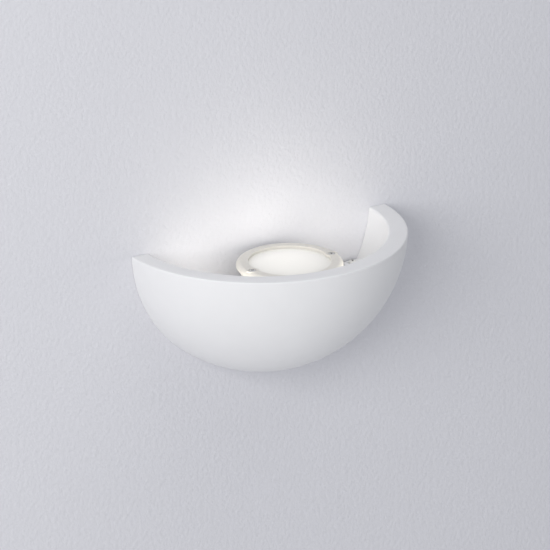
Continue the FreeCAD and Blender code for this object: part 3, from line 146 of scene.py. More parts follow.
def finish_object(name, points, faces, shade=None):
    """Welds, drops faces with no area, turns the faces outwards and shades smooth up to a crease."""
    mesh = bpy.data.meshes.new(name)
    mesh.from_pydata(points, [], faces.tolist())
    if shade is not None:
        mesh.attributes.new("shade", "FLOAT", "POINT").data.foreach_set("value", shade.astype(np.float32))
    shell = bmesh.new()
    shell.from_mesh(mesh)
    bmesh.ops.remove_doubles(shell, verts=shell.verts, dist=2e-6)
    bmesh.ops.dissolve_degenerate(shell, edges=shell.edges, dist=1e-7)
    bmesh.ops.recalc_face_normals(shell, faces=shell.faces)
    shell.to_mesh(mesh)
    shell.free()
    mesh.polygons.foreach_set("use_smooth", np.ones(len(mesh.polygons), bool))
    mesh.set_sharp_from_angle(angle=math.radians(35))
    piece = bpy.data.objects.new(name, mesh)
    bpy.context.scene.collection.objects.link(piece)
    return piece


def arc_points(centre, radius, start, end, count):
    """Points of a circular arc: the centre plus the radius times cosine and sine of an evenly growing angle."""
    angle = np.linspace(start, end, count)
    return np.stack([centre[0] + radius * np.cos(angle), centre[1] + radius * np.sin(angle)], axis=-1)


def bring_in(piece, replaced):
    """Lets a new piece ride on the light and stand for the named solids."""
    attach(piece, BODY)
    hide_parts(*replaced)
    return piece


# ------------------------------------------------------------------ shader groups shared by the finishes


def start_group(name, inputs, outputs):
    tree = bpy.data.node_groups.new(name, "ShaderNodeTree")
    kinds = {float: "NodeSocketFloat", tuple: "NodeSocketColor", None: "NodeSocketVector"}
    for label, default in inputs.items():
        kind = kinds[None if default is None else type(default)]
        socket = tree.interface.new_socket(label, in_out="INPUT", socket_type=kind)
        if default is not None:
            socket.default_value = default
    for label, kind in outputs.items():
        tree.interface.new_socket(label, in_out="OUTPUT", socket_type=kind)
    return tree, tree.nodes.new("NodeGroupInput"), tree.nodes.new("NodeGroupOutput")


def add(tree, kind, sockets=None, **settings):
    """Adds a node; a socket's value may be a number, a colour or another node's output."""
    node = tree.nodes.new("ShaderNode" + kind)
    for key, value in settings.items():
        setattr(node, key, value)
    for key, value in (sockets or {}).items():
        if isinstance(value, bpy.types.NodeSocket):
            tree.links.new(value, node.inputs[key])
        else:
            node.inputs[key].default_value = value
    return node


def maths(tree, operation, first, second=0.0, clamp=False):
    return add(tree, "Math", {0: first, 1: second}, operation=operation, use_clamp=clamp).outputs[0]


def mix_colours(tree, share, first, second):
    node = add(tree, "Mix", data_type="RGBA")
    for socket, value in ((node.inputs[0], share), (node.inputs[6], first), (node.inputs[7], second)):
        if isinstance(value, bpy.types.NodeSocket):
            tree.links.new(value, socket)
        else:
            socket.default_value = value
    return node.outputs[2]


def opaque(rgb):
    return (rgb[0], rgb[1], rgb[2], 1.0)


def make_tone_group():
    """Colour drifting between two close tones over two scales of cloud."""
    tree, entry, out = start_group(
        "drifting_tone",
        {
            "Vector": None, "Tone": (0.8, 0.8, 0.8, 1.0), "Second Tone": (0.7, 0.7, 0.7, 1.0),
            "Scale": 20.0, "Share": 0.5,
        },
        {"Color": "NodeSocketColor", "Mask": "NodeSocketFloat"},
    )
    broad = add(tree, "TexNoise", {"Vector": entry.outputs["Vector"], "Scale": entry.outputs["Scale"], "Detail": 3.0})
    fine_scale = maths(tree, "MULTIPLY", entry.outputs["Scale"], 7.3)
    fine = add(tree, "TexNoise", {"Vector": entry.outputs["Vector"], "Scale": fine_scale, "Detail": 4.0})
    broad_part = maths(tree, "MULTIPLY", broad.outputs[0], 0.7)
    fine_part = maths(tree, "MULTIPLY", fine.outputs[0], 0.3)
    both = maths(tree, "ADD", broad_part, fine_part)
    stretched = add(tree, "MapRange", {"Value": both, "From Min": 0.38, "From Max": 0.62})
    share = maths(tree, "MULTIPLY", stretched.outputs[0], entry.outputs["Share"], clamp=True)
    tree.links.new(mix_colours(tree, share, entry.outputs["Tone"], entry.outputs["Second Tone"]), out.inputs["Color"])
    tree.links.new(share, out.inputs["Mask"])
    return tree


def make_skin_group():
    """Height of a painted or moulded skin: low orange-peel bumps, finer grain and a few pinholes."""
    tree, entry, out = start_group(
        "skin_height",
        {"Vector": None, "Peel Scale": 300.0, "Grain Scale": 1500.0, "Grain": 0.3, "Pits": 0.0},
        {"Height": "NodeSocketFloat", "Pit Mask": "NodeSocketFloat"},
    )
    vector, scale = entry.outputs["Vector"], entry.outputs["Peel Scale"]
    peel = add(tree, "TexNoise", {"Vector": vector, "Scale": scale, "Detail": 2.0, "Roughness": 0.4})
    grain = add(tree, "TexNoise", {"Vector": vector, "Scale": entry.outputs["Grain Scale"], "Detail": 3.0})
    cells = add(tree, "TexVoronoi", {"Vector": vector, "Scale": maths(tree, "MULTIPLY", scale, 0.55)})
    pits = add(
        tree, "MapRange",
        {"Value": cells.outputs["Distance"], "From Min": 0.04, "From Max": 0.11, "To Min": 1.0, "To Max": 0.0},
    )
    rare = add(tree, "TexNoise", {"Vector": vector, "Scale": maths(tree, "MULTIPLY", scale, 0.09)})
    some = add(tree, "MapRange", {"Value": rare.outputs[0], "From Min": 0.56, "From Max": 0.6})
    few_pits = maths(tree, "MULTIPLY", pits.outputs[0], some.outputs[0])
    pit_mask = maths(tree, "MULTIPLY", few_pits, entry.outputs["Pits"])
    height = maths(tree, "ADD", peel.outputs[0], maths(tree, "MULTIPLY", grain.outputs[0], entry.outputs["Grain"]))
    tree.links.new(maths(tree, "SUBTRACT", height, pit_mask), out.inputs["Height"])
    tree.links.new(pit_mask, out.inputs["Pit Mask"])
    return tree


def make_dust_group():
    """Share of pale dust: on faces that look up, thicker in patches."""
    tree, entry, out = start_group(
        "settled_dust", {"Vector": None, "Scale": 60.0, "Amount": 0.3}, {"Mask": "NodeSocketFloat"}
    )
    facing = add(tree, "SeparateXYZ", {0: add(tree, "NewGeometry").outputs["Normal"]})
    level = add(tree, "MapRange", {"Value": facing.outputs["Z"], "From Min": 0.6, "From Max": 0.98})
    patches = add(
        tree, "TexNoise", {"Vector": entry.outputs["Vector"], "Scale": entry.outputs["Scale"], "Detail": 6.0}
    )
    patchy = add(tree, "MapRange", {"Value": patches.outputs[0], "From Min": 0.35, "From Max": 0.7})
    lying = maths(tree, "MULTIPLY", level.outputs[0], patchy.outputs[0])
    share = maths(tree, "MULTIPLY", lying, entry.outputs["Amount"])
    tree.links.new(share, out.inputs["Mask"])
    return tree


GROUPS = {}
DUST_COLOUR = (0.5, 0.48, 0.45, 1.0)


def place_group(tree, name, sockets):
    makers = {"tone": make_tone_group, "skin": make_skin_group, "dust": make_dust_group}
    if name not in GROUPS:
        GROUPS[name] = makers[name]()
    node = tree.nodes.new("ShaderNodeGroup")
    node.node_tree = GROUPS[name]
    for key, value in sockets.items():
        if isinstance(value, bpy.types.NodeSocket):
            tree.links.new(value, node.inputs[key])
        else:
            node.inputs[key].default_value = value
    return node


def make_finish(
    name, tone, second=None, drift=20.0, share=0.5, roughness=0.5, spread=0.1, metallic=0.0,
    peel=300.0, grain=1500.0, grain_share=0.3, pits=0.0, bump=0.02, dust=0.0, coat=0.0, stretch=(1, 1, 1),
):
    """A procedural finish on object coordinates: drifting tone, uneven gloss, a bumped skin and settled dust.

    Pinholes in the skin get painted shade: their colour is darkened.
    """
    material = bpy.data.materials.new(name)
    material.use_nodes = True
    tree = material.node_tree
    shader = tree.nodes["Principled BSDF"]
    place = add(tree, "Mapping", {"Vector": add(tree, "TexCoord").outputs["Object"], "Scale": stretch}).outputs[0]
    second = second or tuple(0.82 * value for value in tone)
    tones = place_group(
        tree, "tone",
        {"Vector": place, "Tone": opaque(tone), "Second Tone": opaque(second), "Scale": drift, "Share": share},
    )
    skin = place_group(
        tree, "skin", {"Vector": place, "Peel Scale": peel, "Grain Scale": grain, "Grain": grain_share, "Pits": pits}
    )
    shade = tones.outputs["Color"]
    # painted shade: the pinholes are painted darker than the skin around them
    if pits:
        painted_pit_shade = tuple(0.6 * value for value in tone)
        shade = mix_colours(tree, maths(tree, "MULTIPLY", skin.outputs["Pit Mask"], 0.5), shade, opaque(painted_pit_shade))
    gloss = add(
        tree, "MapRange",
        {"Value": tones.outputs["Mask"], "To Min": roughness - spread / 2, "To Max": roughness + spread / 2},
    ).outputs[0]
    if dust:
        cover = place_group(tree, "dust", {"Vector": place, "Amount": dust})
        shade = mix_colours(tree, cover.outputs["Mask"], shade, DUST_COLOUR)
        gloss = maths(tree, "ADD", gloss, maths(tree, "MULTIPLY", cover.outputs["Mask"], 0.4), clamp=True)
    raised = add(tree, "Bump", {"Height": skin.outputs["Height"], "Strength": 1.0, "Distance": bump * MM})
    tree.links.new(shade, shader.inputs["Base Color"])
    tree.links.new(gloss, shader.inputs["Roughness"])
    tree.links.new(raised.outputs[0], shader.inputs["Normal"])
    shader.inputs["Metallic"].default_value = metallic
    shader.inputs["Coat Weight"].default_value = coat
    return material


def dress(node, material):
    """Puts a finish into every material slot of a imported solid."""
    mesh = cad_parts[node].data
    if not mesh.materials:
        mesh.materials.append(material)
    for number in range(len(mesh.materials)):
        mesh.materials[number] = material


# ------------------------------------------------------------------ plaster bowl


class SCONCE_OT_bowl(Operator):
    """Cast plaster half bowl with its two rear lugs"""

    bl_idname = "sconce.bowl"
    bl_label = "Plaster bowl"

    def execute(self, context):
        size = context.scene.sconce_bowl
        profile = self.profile(size)
        shell = self.sweep(profile, size)
        backs = self.back_faces(profile, size)
        lugs = [self.lug(size, side) for side in (-1, 1)]
        piece = smooth_object("plaster_shell", shell, extra=[backs, *lugs])
        piece.data.materials.append(self.plaster(size))
        bring_in(piece, ["plaster_bowl"])
        return {"FINISHED"}

    @staticmethod
    def profile(size):
        """Half section, radius and height, from the outside pole over the rim to the inside pole.

        Two circles round one centre, with two small tangent circles at the rim.
        """
        rise = (size.rim_radius**2 - size.height**2) / (2 * size.height)
        top = BOWL_HIGH.z
        centre = (0.0, top + rise)
        outer = size.height + rise
        inner = outer - size.wall
        pieces = []
        edge = size.outer_round
        drop = rise + edge
        reach = math.sqrt((outer - edge) ** 2 - drop**2)
        low = math.atan2(-drop, reach)
        pieces.append(arc_points(centre, outer, -math.pi / 2, low, 150))
        pieces.append(arc_points((reach, top - edge), edge, low, math.pi / 2, 10)[1:])
        edge = size.inner_round
        drop = rise + edge
        reach = math.sqrt((inner + edge) ** 2 - drop**2)
        low = math.atan2(drop, -reach)
        pieces.append(arc_points((reach, top - edge), edge, math.pi / 2, low, 10))
        back_down = math.atan2(-drop, reach)
        pieces.append(arc_points(centre, inner, back_down, -math.pi / 2, 150)[1:])
        section = np.concatenate(pieces)
        section[0, 0] = section[-1, 0] = 0.0
        return section

    @staticmethod
    def waver(x, y, z, depth):
        """Slow dips of a hand-sanded surface: three crossed sine waves, never outwards."""
        waves = np.sin(31 * x + 17 * z) * np.sin(27 * y - 9 * x) + np.sin(53 * z + 21 * y)
        return -depth * (2 + waves) / 4

    def sweep(self, section, size):
        """The half section turned from one end of the wall to the other: x = r cos a, y = r sin a."""
        angle = np.linspace(-math.pi, 0, 241)
        radius, height = section[:, 0][None, :], section[:, 1][None, :]
        x, y = radius * np.cos(angle)[:, None], radius * np.sin(angle)[:, None]
        z = np.broadcast_to(height, x.shape)
        dip = self.waver(x, y, z, size.waver)
        y = np.where(np.abs(y) < 1e-9, 0.0, y)
        nonzero = np.maximum(radius, 1e-6)
        free = np.clip(radius / (0.2 * size.rim_radius), 0, 1) * np.clip(-y / (0.05 * size.rim_radius), 0, 1)
        shift = 1 + dip * free / nonzero
        return np.stack([x * shift, y * shift, z], axis=-1)

    @staticmethod
    def back_faces(section, size):
        """Flat cut at the wall: the outer half of the section joined to the inner half, and its mirror image."""
        half = len(section) // 2
        outside, inside = section[:half], section[::-1][: len(section) - half]
        count = 160
        rows = []
        for line in (outside, inside):
            step = np.linspace(0, len(line) - 1, count)
            rows.append(
                np.stack([np.interp(step, np.arange(len(line)), line[:, axis]) for axis in (0, 1)], axis=-1)
            )
        right = np.stack([np.stack([row[:, 0], 0 * row[:, 0], row[:, 1]], axis=-1) for row in rows])
        left = right * np.array([-1, 1, 1])
        return np.concatenate([left[:, ::-1], right], axis=1)

    @staticmethod
    def lug(size, side):
        """A lug with a round end, as rings round its screw hole: bottom, side, rounded top edge, top and hole."""
        edge = 1.2 * MM
        top = size.lug_under + size.lug_height
        rounding = arc_points((-edge, top - edge), edge, 0, math.pi / 2, 6)
        rows = [(size.lug_under, None), (size.lug_under, 0.0)]
        rows += [(height, inset) for inset, height in rounding]
        rows += [(top, None), (size.lug_under, None)]
        angle = np.linspace(0, 2 * math.pi, 73)
        across, away = np.cos(angle), np.sin(angle)
        reach = size.lug_radius
        root = 12 * MM
        square = reach / np.maximum(np.abs(away), 1e-6)
        out = np.where(across > 0, np.minimum(square, root / np.maximum(across, 1e-6)), reach)
        rings = []
        for height, inset in rows:
            distance = size.lug_hole if inset is None else out + inset
            ring = np.stack([-distance * across, distance * away, np.full_like(angle, height)], axis=-1)
            rings.append(ring)
        points = np.stack(rings)
        points[..., 0] = side * (size.lug_x - points[..., 0])
        points[..., 1] -= size.lug_y
        return points

    @staticmethod
    def plaster(size):
        return make_finish(
            "matt_plaster_paint", tuple(size.paint), tuple(0.975 * value for value in size.paint), drift=9, share=0.8,
            roughness=0.72, spread=0.08, peel=420, grain=2600, grain_share=0.5, pits=0.25, bump=0.05,
        )


# ------------------------------------------------------------------ screws


def screw_points(radius, reach, head, rise, pitch):
    """A pan-head screw upright at the origin, its seat at height 0, with painted shade in its cross recess.

    Head: height falls from the crown by a power of the distance, less a cross-shaped hollow with sloping walls.
    Shank: distance from the axis is the core plus a triangle wave of turn and height, which is a screw thread.
    """
    angle = np.linspace(0, 2 * math.pi, 65)[None, :]
    distance = np.linspace(0, 1, 20)[:, None] ** 0.85
    x, y = head * distance * np.cos(angle), head * distance * np.sin(angle)
    crown = rise * (1 - 0.42 * (distance + 0 * angle) ** 4)
    arm, half, slope = 0.6 * head, 0.17 * head, 0.07 * head
    wide = np.clip((half - np.minimum(np.abs(x), np.abs(y))) / slope, 0, 1)
    long = np.clip((arm - np.maximum(np.abs(x), np.abs(y))) / slope, 0, 1)
    hollow = wide * long * rise * 0.62 * np.clip(1.25 - np.maximum(np.abs(x), np.abs(y)) / arm, 0.35, 1)
    cap = np.stack([x, y, crown - hollow], axis=-1)
    rim = np.stack([head * np.cos(angle), head * np.sin(angle), 0 * angle], axis=-1)
    # painted shade: the deeper a point lies in the cross recess, the darker its colour is painted
    recess_shade = np.clip(hollow / (0.3 * rise), 0, 1)
    core = 0.86 * radius
    rows = max(int(reach / pitch * 6), 12)
    height = np.linspace(0, -reach, rows)[:, None]
    phase = (height / pitch + angle / (2 * math.pi)) % 1
    taper = np.clip((height + reach) / (0.8 * radius), 0.0, 1.0) * 0.35 + 0.65
    bite = (radius - core) * (1 - np.abs(2 * phase - 1)) * np.clip(-height / pitch, 0, 1)
    spoke = (core + bite) * taper
    shank = np.stack([spoke * np.cos(angle), spoke * np.sin(angle), height + 0 * angle], axis=-1)
    tip = shank[-1:] * np.array([0, 0, 1])
    points = np.concatenate([cap, rim, shank, tip])
    shade = np.zeros(points.shape[:2])
    shade[: len(cap)] = recess_shade
    return points, shade


class SCONCE_OT_fasteners(Operator):
    """Threaded cross-recess screws in place of the plain ones"""

    bl_idname = "sconce.fasteners"
    bl_label = "Screws"

    # node: (shank radius, head radius, head height, thread pitch, driven from below), in millimetres
    KINDS = {
        "ring_screws": (1.75, 3.5, 2.2, 0.6, False),
        "bowl_screws": (2.0, 4.0, 2.6, 0.7, False),
        "board_screws": (1.5, 2.5, 1.9, 0.5, False),
        "housing_screws": (2.0, 4.0, 2.6, 0.7, True),
        "driver_screws": (1.5, 2.5, 1.9, 0.5, True),
        "terminal_fixing_screw": (1.5, 2.5, 1.9, 0.5, True),
        "earth_screw": (2.0, 4.0, 2.6, 0.7, True),
    }

    def execute(self, context):
        bright = self.with_painted_recess_shade(make_finish(
            "zinc_plate", (0.72, 0.72, 0.71), (0.5, 0.5, 0.49), drift=260, share=0.7, roughness=0.3, spread=0.16,
            metallic=1.0, peel=900, grain=4000, bump=0.01,
        ))
        lacquer = self.with_painted_recess_shade(make_finish(
            "screw_lacquer", (0.78, 0.78, 0.76), drift=150, share=0.3, roughness=0.4, peel=900, grain=4000, bump=0.01,
        ))
        for node, (radius, head, rise, pitch, upwards) in self.KINDS.items():
            low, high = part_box(node)
            reach = (high.z - low.z) - rise * MM
            shape, shade = screw_points(radius * MM, reach, head * MM, rise * MM, pitch * MM)
            if upwards:
                shape = shape * np.array([1, -1, -1])
            seat = low.z + rise * MM if upwards else high.z - rise * MM
            copies = []
            for number, (x, y) in enumerate(self.places(node, low, high, head * MM)):
                twist = 0.35 + 0.9 * number
                rotation = np.array(
                    [[math.cos(twist), math.sin(twist), 0], [-math.sin(twist), math.cos(twist), 0], [0, 0, 1]]
                )
                copies.append(shape @ rotation + np.array([x, y, seat]))
            name = node.replace("_", "-") + ".threaded"
            shades = np.concatenate([shade.ravel()] * len(copies))
            piece = smooth_object(name, copies[0], extra=copies[1:], shade=shades)
            painted = node == "bowl_screws"
            piece.data.materials.append(lacquer if painted else bright)
            bring_in(piece, [node])
        return {"FINISHED"}

    @staticmethod
    def with_painted_recess_shade(material):
        """Paints shade into the cross recess: darkens the colour by the mesh's painted shade, which is 1 at the
        recess's floor.
        """
        tree = material.node_tree
        shader = tree.nodes["Principled BSDF"]
        base = shader.inputs["Base Color"].links[0].from_socket
        shade = add(tree, "Attribute", attribute_name="shade").outputs["Fac"]
        share = maths(tree, "MULTIPLY", shade, 0.9)
        # painted shade: the recess is mixed towards near black
        tree.links.new(mix_colours(tree, share, base, (0.03, 0.03, 0.03, 1.0)), shader.inputs["Base Color"])
        return material

    @staticmethod
    def places(node, low, high, head):
        """Where each screw of a node stands, from the node's own corners."""
        left, right, near, far = low.x + head, high.x - head, low.y + head, high.y - head
        if node == "board_screws":
            return [((left + right) / 2, far), (left, near), (right, near)]
        if node == "housing_screws":
            return [(x, y) for x in (left, right) for y in (near, far)]
        if right - left > 1 * MM:
            return [(left, (near + far) / 2), (right, (near + far) / 2)]
        return [((left + right) / 2, (near + far) / 2)]


# ------------------------------------------------------------------ lamp head


class SCONCE_OT_lamp_head(Operator):
    """Finned housing, opal glass, clamp ring, gasket and reflector"""

    bl_idname = "sconce.lamp_head"
    bl_label = "Lamp head"

    def execute(self, context):
        size = context.scene.sconce_lamp
        dress("lamp_housing", make_finish(
            "housing_powder_coat", tuple(size.housing), drift=30, share=0.35, roughness=0.5, spread=0.12,
            peel=900, grain=3500, bump=0.06, dust=0.15,
        ))
        dress("clamp_ring", make_finish(
            "ring_satin_paint", tuple(size.ring), tuple(0.9 * value for value in size.ring), drift=35, share=0.5,
            roughness=0.42, spread=0.1, peel=700, grain=3000, bump=0.02,
        ))
        dress("lens_gasket", make_finish("silicone", (0.72, 0.72, 0.7), roughness=0.6, bump=0.01))
        dress("reflector", make_finish("reflector_white", (0.9, 0.9, 0.89), share=0.2, roughness=0.3, bump=0.01))
        dress("diffuser_glass", self.opal(size))
        return {"FINISHED"}

    @staticmethod
    def opal(size):
        """Lit opal glass: glow falls off with the square of the distance from the lamp's axis."""
        material = make_finish(
            "opal_glass", tuple(size.glass), tuple(0.97 * value for value in size.glass), drift=25, share=0.4,
            roughness=0.2, spread=0.06, peel=500, grain=3000, bump=0.004,
        )
        tree = material.node_tree
        shader = tree.nodes["Principled BSDF"]
        centred = add(
            tree, "Mapping",
            {"Vector": add(tree, "TexCoord").outputs["Object"], "Location": (-LAMP_AXIS.x, -LAMP_AXIS.y, 0)},
        )
        flat = add(tree, "VectorMath", {0: centred.outputs[0], 1: (1.0, 1.0, 0.0)}, operation="MULTIPLY")
        away = add(tree, "VectorMath", {0: flat.outputs[0]}, operation="LENGTH").outputs["Value"]
        share = maths(tree, "POWER", maths(tree, "DIVIDE", away, GLASS_HIGH.x), 2.0)
        dim = tuple(0.45 * value for value in size.glow)
        tree.links.new(
            mix_colours(tree, share, opaque(tuple(size.glow)), opaque(dim)), shader.inputs["Emission Color"]
        )
        shader.inputs["Emission Strength"].default_value = size.glow_strength
        return material


# ------------------------------------------------------------------ light source


class SCONCE_OT_light_source(Operator):
    """Board, chips, connector and thermal pad under the glass"""

    bl_idname = "sconce.light_source"
    bl_label = "Light source"

    def execute(self, context):
        dress("thermal_pad", make_finish("thermal_pad_grey", (0.3, 0.32, 0.35), roughness=0.7, peel=600, bump=0.03))
        dress("led_board", make_finish("solder_mask_white", (0.82, 0.82, 0.8), share=0.15, roughness=0.35))
        dress("board_connector", make_finish("connector_nylon", (0.78, 0.76, 0.7), roughness=0.45))
        chips = make_finish(
            "chip_phosphor", (0.85, 0.62, 0.12), (0.8, 0.5, 0.08), drift=300, roughness=0.25, bump=0.01,
        )
        shader = chips.node_tree.nodes["Principled BSDF"]
        shader.inputs["Emission Color"].default_value = (1.0, 0.86, 0.5, 1.0)
        shader.inputs["Emission Strength"].default_value = 0.6
        dress("led_chips", chips)
        return {"FINISHED"}


# ------------------------------------------------------------------ bracket, driver, wiring


class SCONCE_OT_bracket(Operator):
    """Folded wall bracket with its pads, washers and rubber bushes"""

    bl_idname = "sconce.bracket"
    bl_label = "Wall bracket"

    def execute(self, context):
        dress("wall_bracket", make_finish(
            "bracket_powder_coat", (0.68, 0.68, 0.67), (0.6, 0.6, 0.59), drift=18, share=0.5, roughness=0.48,
            spread=0.15, peel=800, grain=3000, bump=0.05, dust=0.3,
        ))
        rubber = make_finish(
            "bush_rubber", (0.03, 0.03, 0.032), (0.06, 0.06, 0.06), drift=80, roughness=0.62, spread=0.2, bump=0.02,
        )
        for node in ("entry_grommet", "lead_grommet", "lug_pads"):
            dress(node, rubber)
        dress("bowl_washers", make_finish(
            "washer_lacquer", (0.78, 0.78, 0.76), drift=150, share=0.3, roughness=0.42, spread=0.1, bump=0.01,
        ))
        return {"FINISHED"}


class SCONCE_OT_driver(Operator):
    """Driver under the shelf with its board and components"""

    bl_idname = "sconce.driver"
    bl_label = "Driver"

    def execute(self, context):
        shell = make_finish(
            "driver_moulding", (0.72, 0.72, 0.71), (0.66, 0.66, 0.65), drift=22, roughness=0.55, spread=0.1,
            peel=1100, grain=4000, bump=0.03,
        )
        for node in ("driver_cover", "driver_base"):
            dress(node, shell)
        dress("driver_board", make_finish(
            "solder_mask_green", (0.01, 0.09, 0.03), (0.02, 0.13, 0.04), drift=120, roughness=0.35, bump=0.02,
        ))
        dress("driver_transformer", make_finish(
            "winding_tape", (0.7, 0.45, 0.05), (0.6, 0.36, 0.04), drift=60, roughness=0.4, stretch=(1, 1, 9),
            bump=0.06,
        ))
        dress("driver_capacitors", make_finish(
            "capacitor_sleeve", (0.01, 0.01, 0.012), roughness=0.3, stretch=(1, 1, 0.3),
        ))
        return {"FINISHED"}


class SCONCE_OT_wiring(Operator):
    """Terminal block, leads and earth point"""

    bl_idname = "sconce.wiring"
    bl_label = "Wiring"

    INSULATION = {
        "live_lead": ("lead_brown", (0.12, 0.045, 0.018)),
        "neutral_lead": ("lead_blue", (0.015, 0.1, 0.42)),
        "lamp_lead": ("lead_white", (0.72, 0.72, 0.7)),
    }

    def execute(self, context):
        dress("terminal_body", make_finish(
            "terminal_nylon", (0.74, 0.72, 0.64), (0.68, 0.66, 0.58), drift=60, roughness=0.42, bump=0.02,
        ))
        dress("terminal_clamps", make_finish(
            "clamp_brass", (0.72, 0.48, 0.16), (0.5, 0.31, 0.1), drift=150, roughness=0.3, spread=0.2, metallic=1.0,
        ))
        dress("terminal_screws", make_finish(
            "clamp_screw_zinc", (0.5, 0.5, 0.49), (0.35, 0.35, 0.34), drift=300, roughness=0.35, metallic=1.0,
        ))
        dress("earth_tag", make_finish(
            "tinned_copper", (0.66, 0.65, 0.62), (0.5, 0.48, 0.45), drift=220, roughness=0.32, metallic=1.0,
        ))
        for node, (name, tone) in self.INSULATION.items():
            dress(node, make_finish(name, tone, roughness=0.4, spread=0.15, drift=60, peel=1500, bump=0.01))
        dress("earth_lead", self.striped())
        return {"FINISHED"}

    @staticmethod
    def striped():
        """Green insulation with a yellow stripe that winds along the lead."""
        material = make_finish("lead_green_yellow", (0.06, 0.33, 0.03), roughness=0.4, drift=60, peel=1500, bump=0.01)
        tree = material.node_tree
        shader = tree.nodes["Principled BSDF"]
        bands = add(
            tree, "TexWave", {"Vector": add(tree, "TexCoord").outputs["Object"], "Scale": 55.0, "Distortion": 0.0},
            wave_type="BANDS", bands_direction="DIAGONAL",
        )
        sharp = add(tree, "MapRange", {"Value": bands.outputs["Fac"], "From Min": 0.47, "From Max": 0.53})
        base = shader.inputs["Base Color"].links[0].from_socket
        tree.links.new(mix_colours(tree, sharp.outputs[0], base, (0.75, 0.6, 0.03, 1.0)), shader.inputs["Base Color"])
        return material


# ------------------------------------------------------------------ stage


class SCONCE_OT_stage(Operator):
    """Wall, floor, soft lights, the lamp's beam and the camera"""

    bl_idname = "sconce.stage"
    bl_label = "Stage"

    def execute(self, context):
        size = context.scene.sconce_stage
        lamp = context.scene.sconce_lamp
        context.scene.view_settings.view_transform = "Standard"
        self.backdrop("stage_wall", [(-4, 0.0004, -1.2), (4, 0.0004, -1.2), (4, 0.0004, 4), (-4, 0.0004, 4)],
                      self.see_through("wall_emulsion", tuple(size.wall)))
        self.backdrop("stage_floor", [(-4, -6, -1.2), (4, -6, -1.2), (4, 0.0004, -1.2), (-4, 0.0004, -1.2)],
                      self.see_through("floor_pale", tuple(size.floor)))
        self.world(context, size)
        target = Vector((0, -0.05, 0.02))
        self.panel_light("key_light", (-1.9, -1.55, 0.85), target, 1.3, size.key, (1.0, 0.995, 0.985))
        self.panel_light("fill_light", (1.3, -2.6, 0.5), target, 2.4, size.fill, (0.93, 0.95, 1.0))
        self.panel_light("top_light", (0.5, -1.1, 2.4), target, 1.8, size.top, (1.0, 1.0, 1.0))
        self.glow(lamp)
        self.camera(context, size)
        return {"FINISHED"}

    @staticmethod
    def backdrop(name, corners, material):
        mesh = bpy.data.meshes.new(name)
        mesh.from_pydata(corners, [], [(0, 1, 2, 3)])
        mesh.materials.append(material)
        sheet = bpy.data.objects.new(name, mesh)
        bpy.context.scene.collection.objects.link(sheet)

    @staticmethod
    def glow(lamp):
        """Light of the lit glass and of the hollow that it fills, as two sheets that no camera sees.

        The dome just above the glass is z = rise (1 - (r / radius) squared). The other is a band of the hollow's own
        ball, a little smaller: r = root(ball squared - depth below its centre squared). It is turned round the front
        and ends short of the wall, further from it on the right.
        """
        radius, rise = 0.86 * GLASS_HIGH.x, 0.5 * (GLASS_HIGH.z - GLASS_LOW.z)
        share = np.linspace(0, 1, 9)[None, :]
        angle = np.linspace(0, 2 * math.pi, 49)[:, None]
        x, y = radius * share * np.cos(angle), radius * share * np.sin(angle)
        above_glass, off_plaster = 0.6 * MM, 2 * MM
        height = GLASS_HIGH.z + above_glass - rise * share**2 + 0 * angle
        dome = np.stack([x + LAMP_AXIS.x, y + LAMP_AXIS.y, height], axis=-1)
        bowl = bpy.context.scene.sconce_bowl
        lift = (bowl.rim_radius**2 - bowl.height**2) / (2 * bowl.height)
        ball = bowl.height + lift - bowl.wall - off_plaster
        band_top, band_foot = 4 * MM, 56 * MM
        below = np.linspace(lift + band_top, lift + band_foot, 9)[None, :]
        across = np.sqrt(ball**2 - below**2)
        angle = np.linspace(-0.9 * math.pi, -0.15 * math.pi, 49)[:, None]
        x, y = across * np.cos(angle), across * np.sin(angle)
        hollow = np.stack([x, y, BOWL_HIGH.z + lift - below + 0 * angle], axis=-1)
        for name, points, strength in (("lamp_glow", dome, lamp.spill), ("bowl_glow", hollow, lamp.bounce)):
            sheet = smooth_object(name, points)
            sheet.visible_camera = False
            sheet.visible_shadow = False
            material = bpy.data.materials.new(name)
            material.use_nodes = True
            tree = material.node_tree
            tree.nodes.remove(tree.nodes["Principled BSDF"])
            shine = add(tree, "Emission", {"Color": opaque(tuple(lamp.glow)), "Strength": strength})
            one_sided = add(tree, "MixShader", {0: add(tree, "NewGeometry").outputs["Backfacing"]})
            tree.links.new(shine.outputs[0], one_sided.inputs[1])
            tree.links.new(add(tree, "BsdfTransparent").outputs[0], one_sided.inputs[2])
            tree.links.new(one_sided.outputs[0], tree.nodes["Material Output"].inputs["Surface"])
            face = sheet.data.polygons[len(sheet.data.polygons) // 2]
            if face.normal.dot(Vector((LAMP_AXIS.x, LAMP_AXIS.y, 1)) - face.center) < 0:
                sheet.data.flip_normals()
            sheet.data.materials.append(material)

    @staticmethod
    def see_through(name, tone):
        """Rolled emulsion in front, and nothing from behind or for what touches it.

        So the light can be looked at from the wall's side, where its flat back is lit as if the wall were taken away.
        """
        material = make_finish(
            name, tone, tuple(0.985 * value for value in tone), drift=5, share=0.6, roughness=0.8,
            peel=230, grain=700, bump=0.7, stretch=(1, 1, 0.85),
        )
        tree = material.node_tree
        out = tree.nodes["Material Output"]
        clear = add(tree, "BsdfTransparent")
        touching = maths(tree, "LESS_THAN", add(tree, "LightPath").outputs["Ray Length"], 1 * MM)
        hidden = maths(tree, "MAXIMUM", touching, add(tree, "NewGeometry").outputs["Backfacing"])
        behind = add(tree, "MixShader", {0: hidden})
        tree.links.new(tree.nodes["Principled BSDF"].outputs[0], behind.inputs[1])
        tree.links.new(clear.outputs[0], behind.inputs[2])
        tree.links.new(behind.outputs[0], out.inputs["Surface"])
        return material

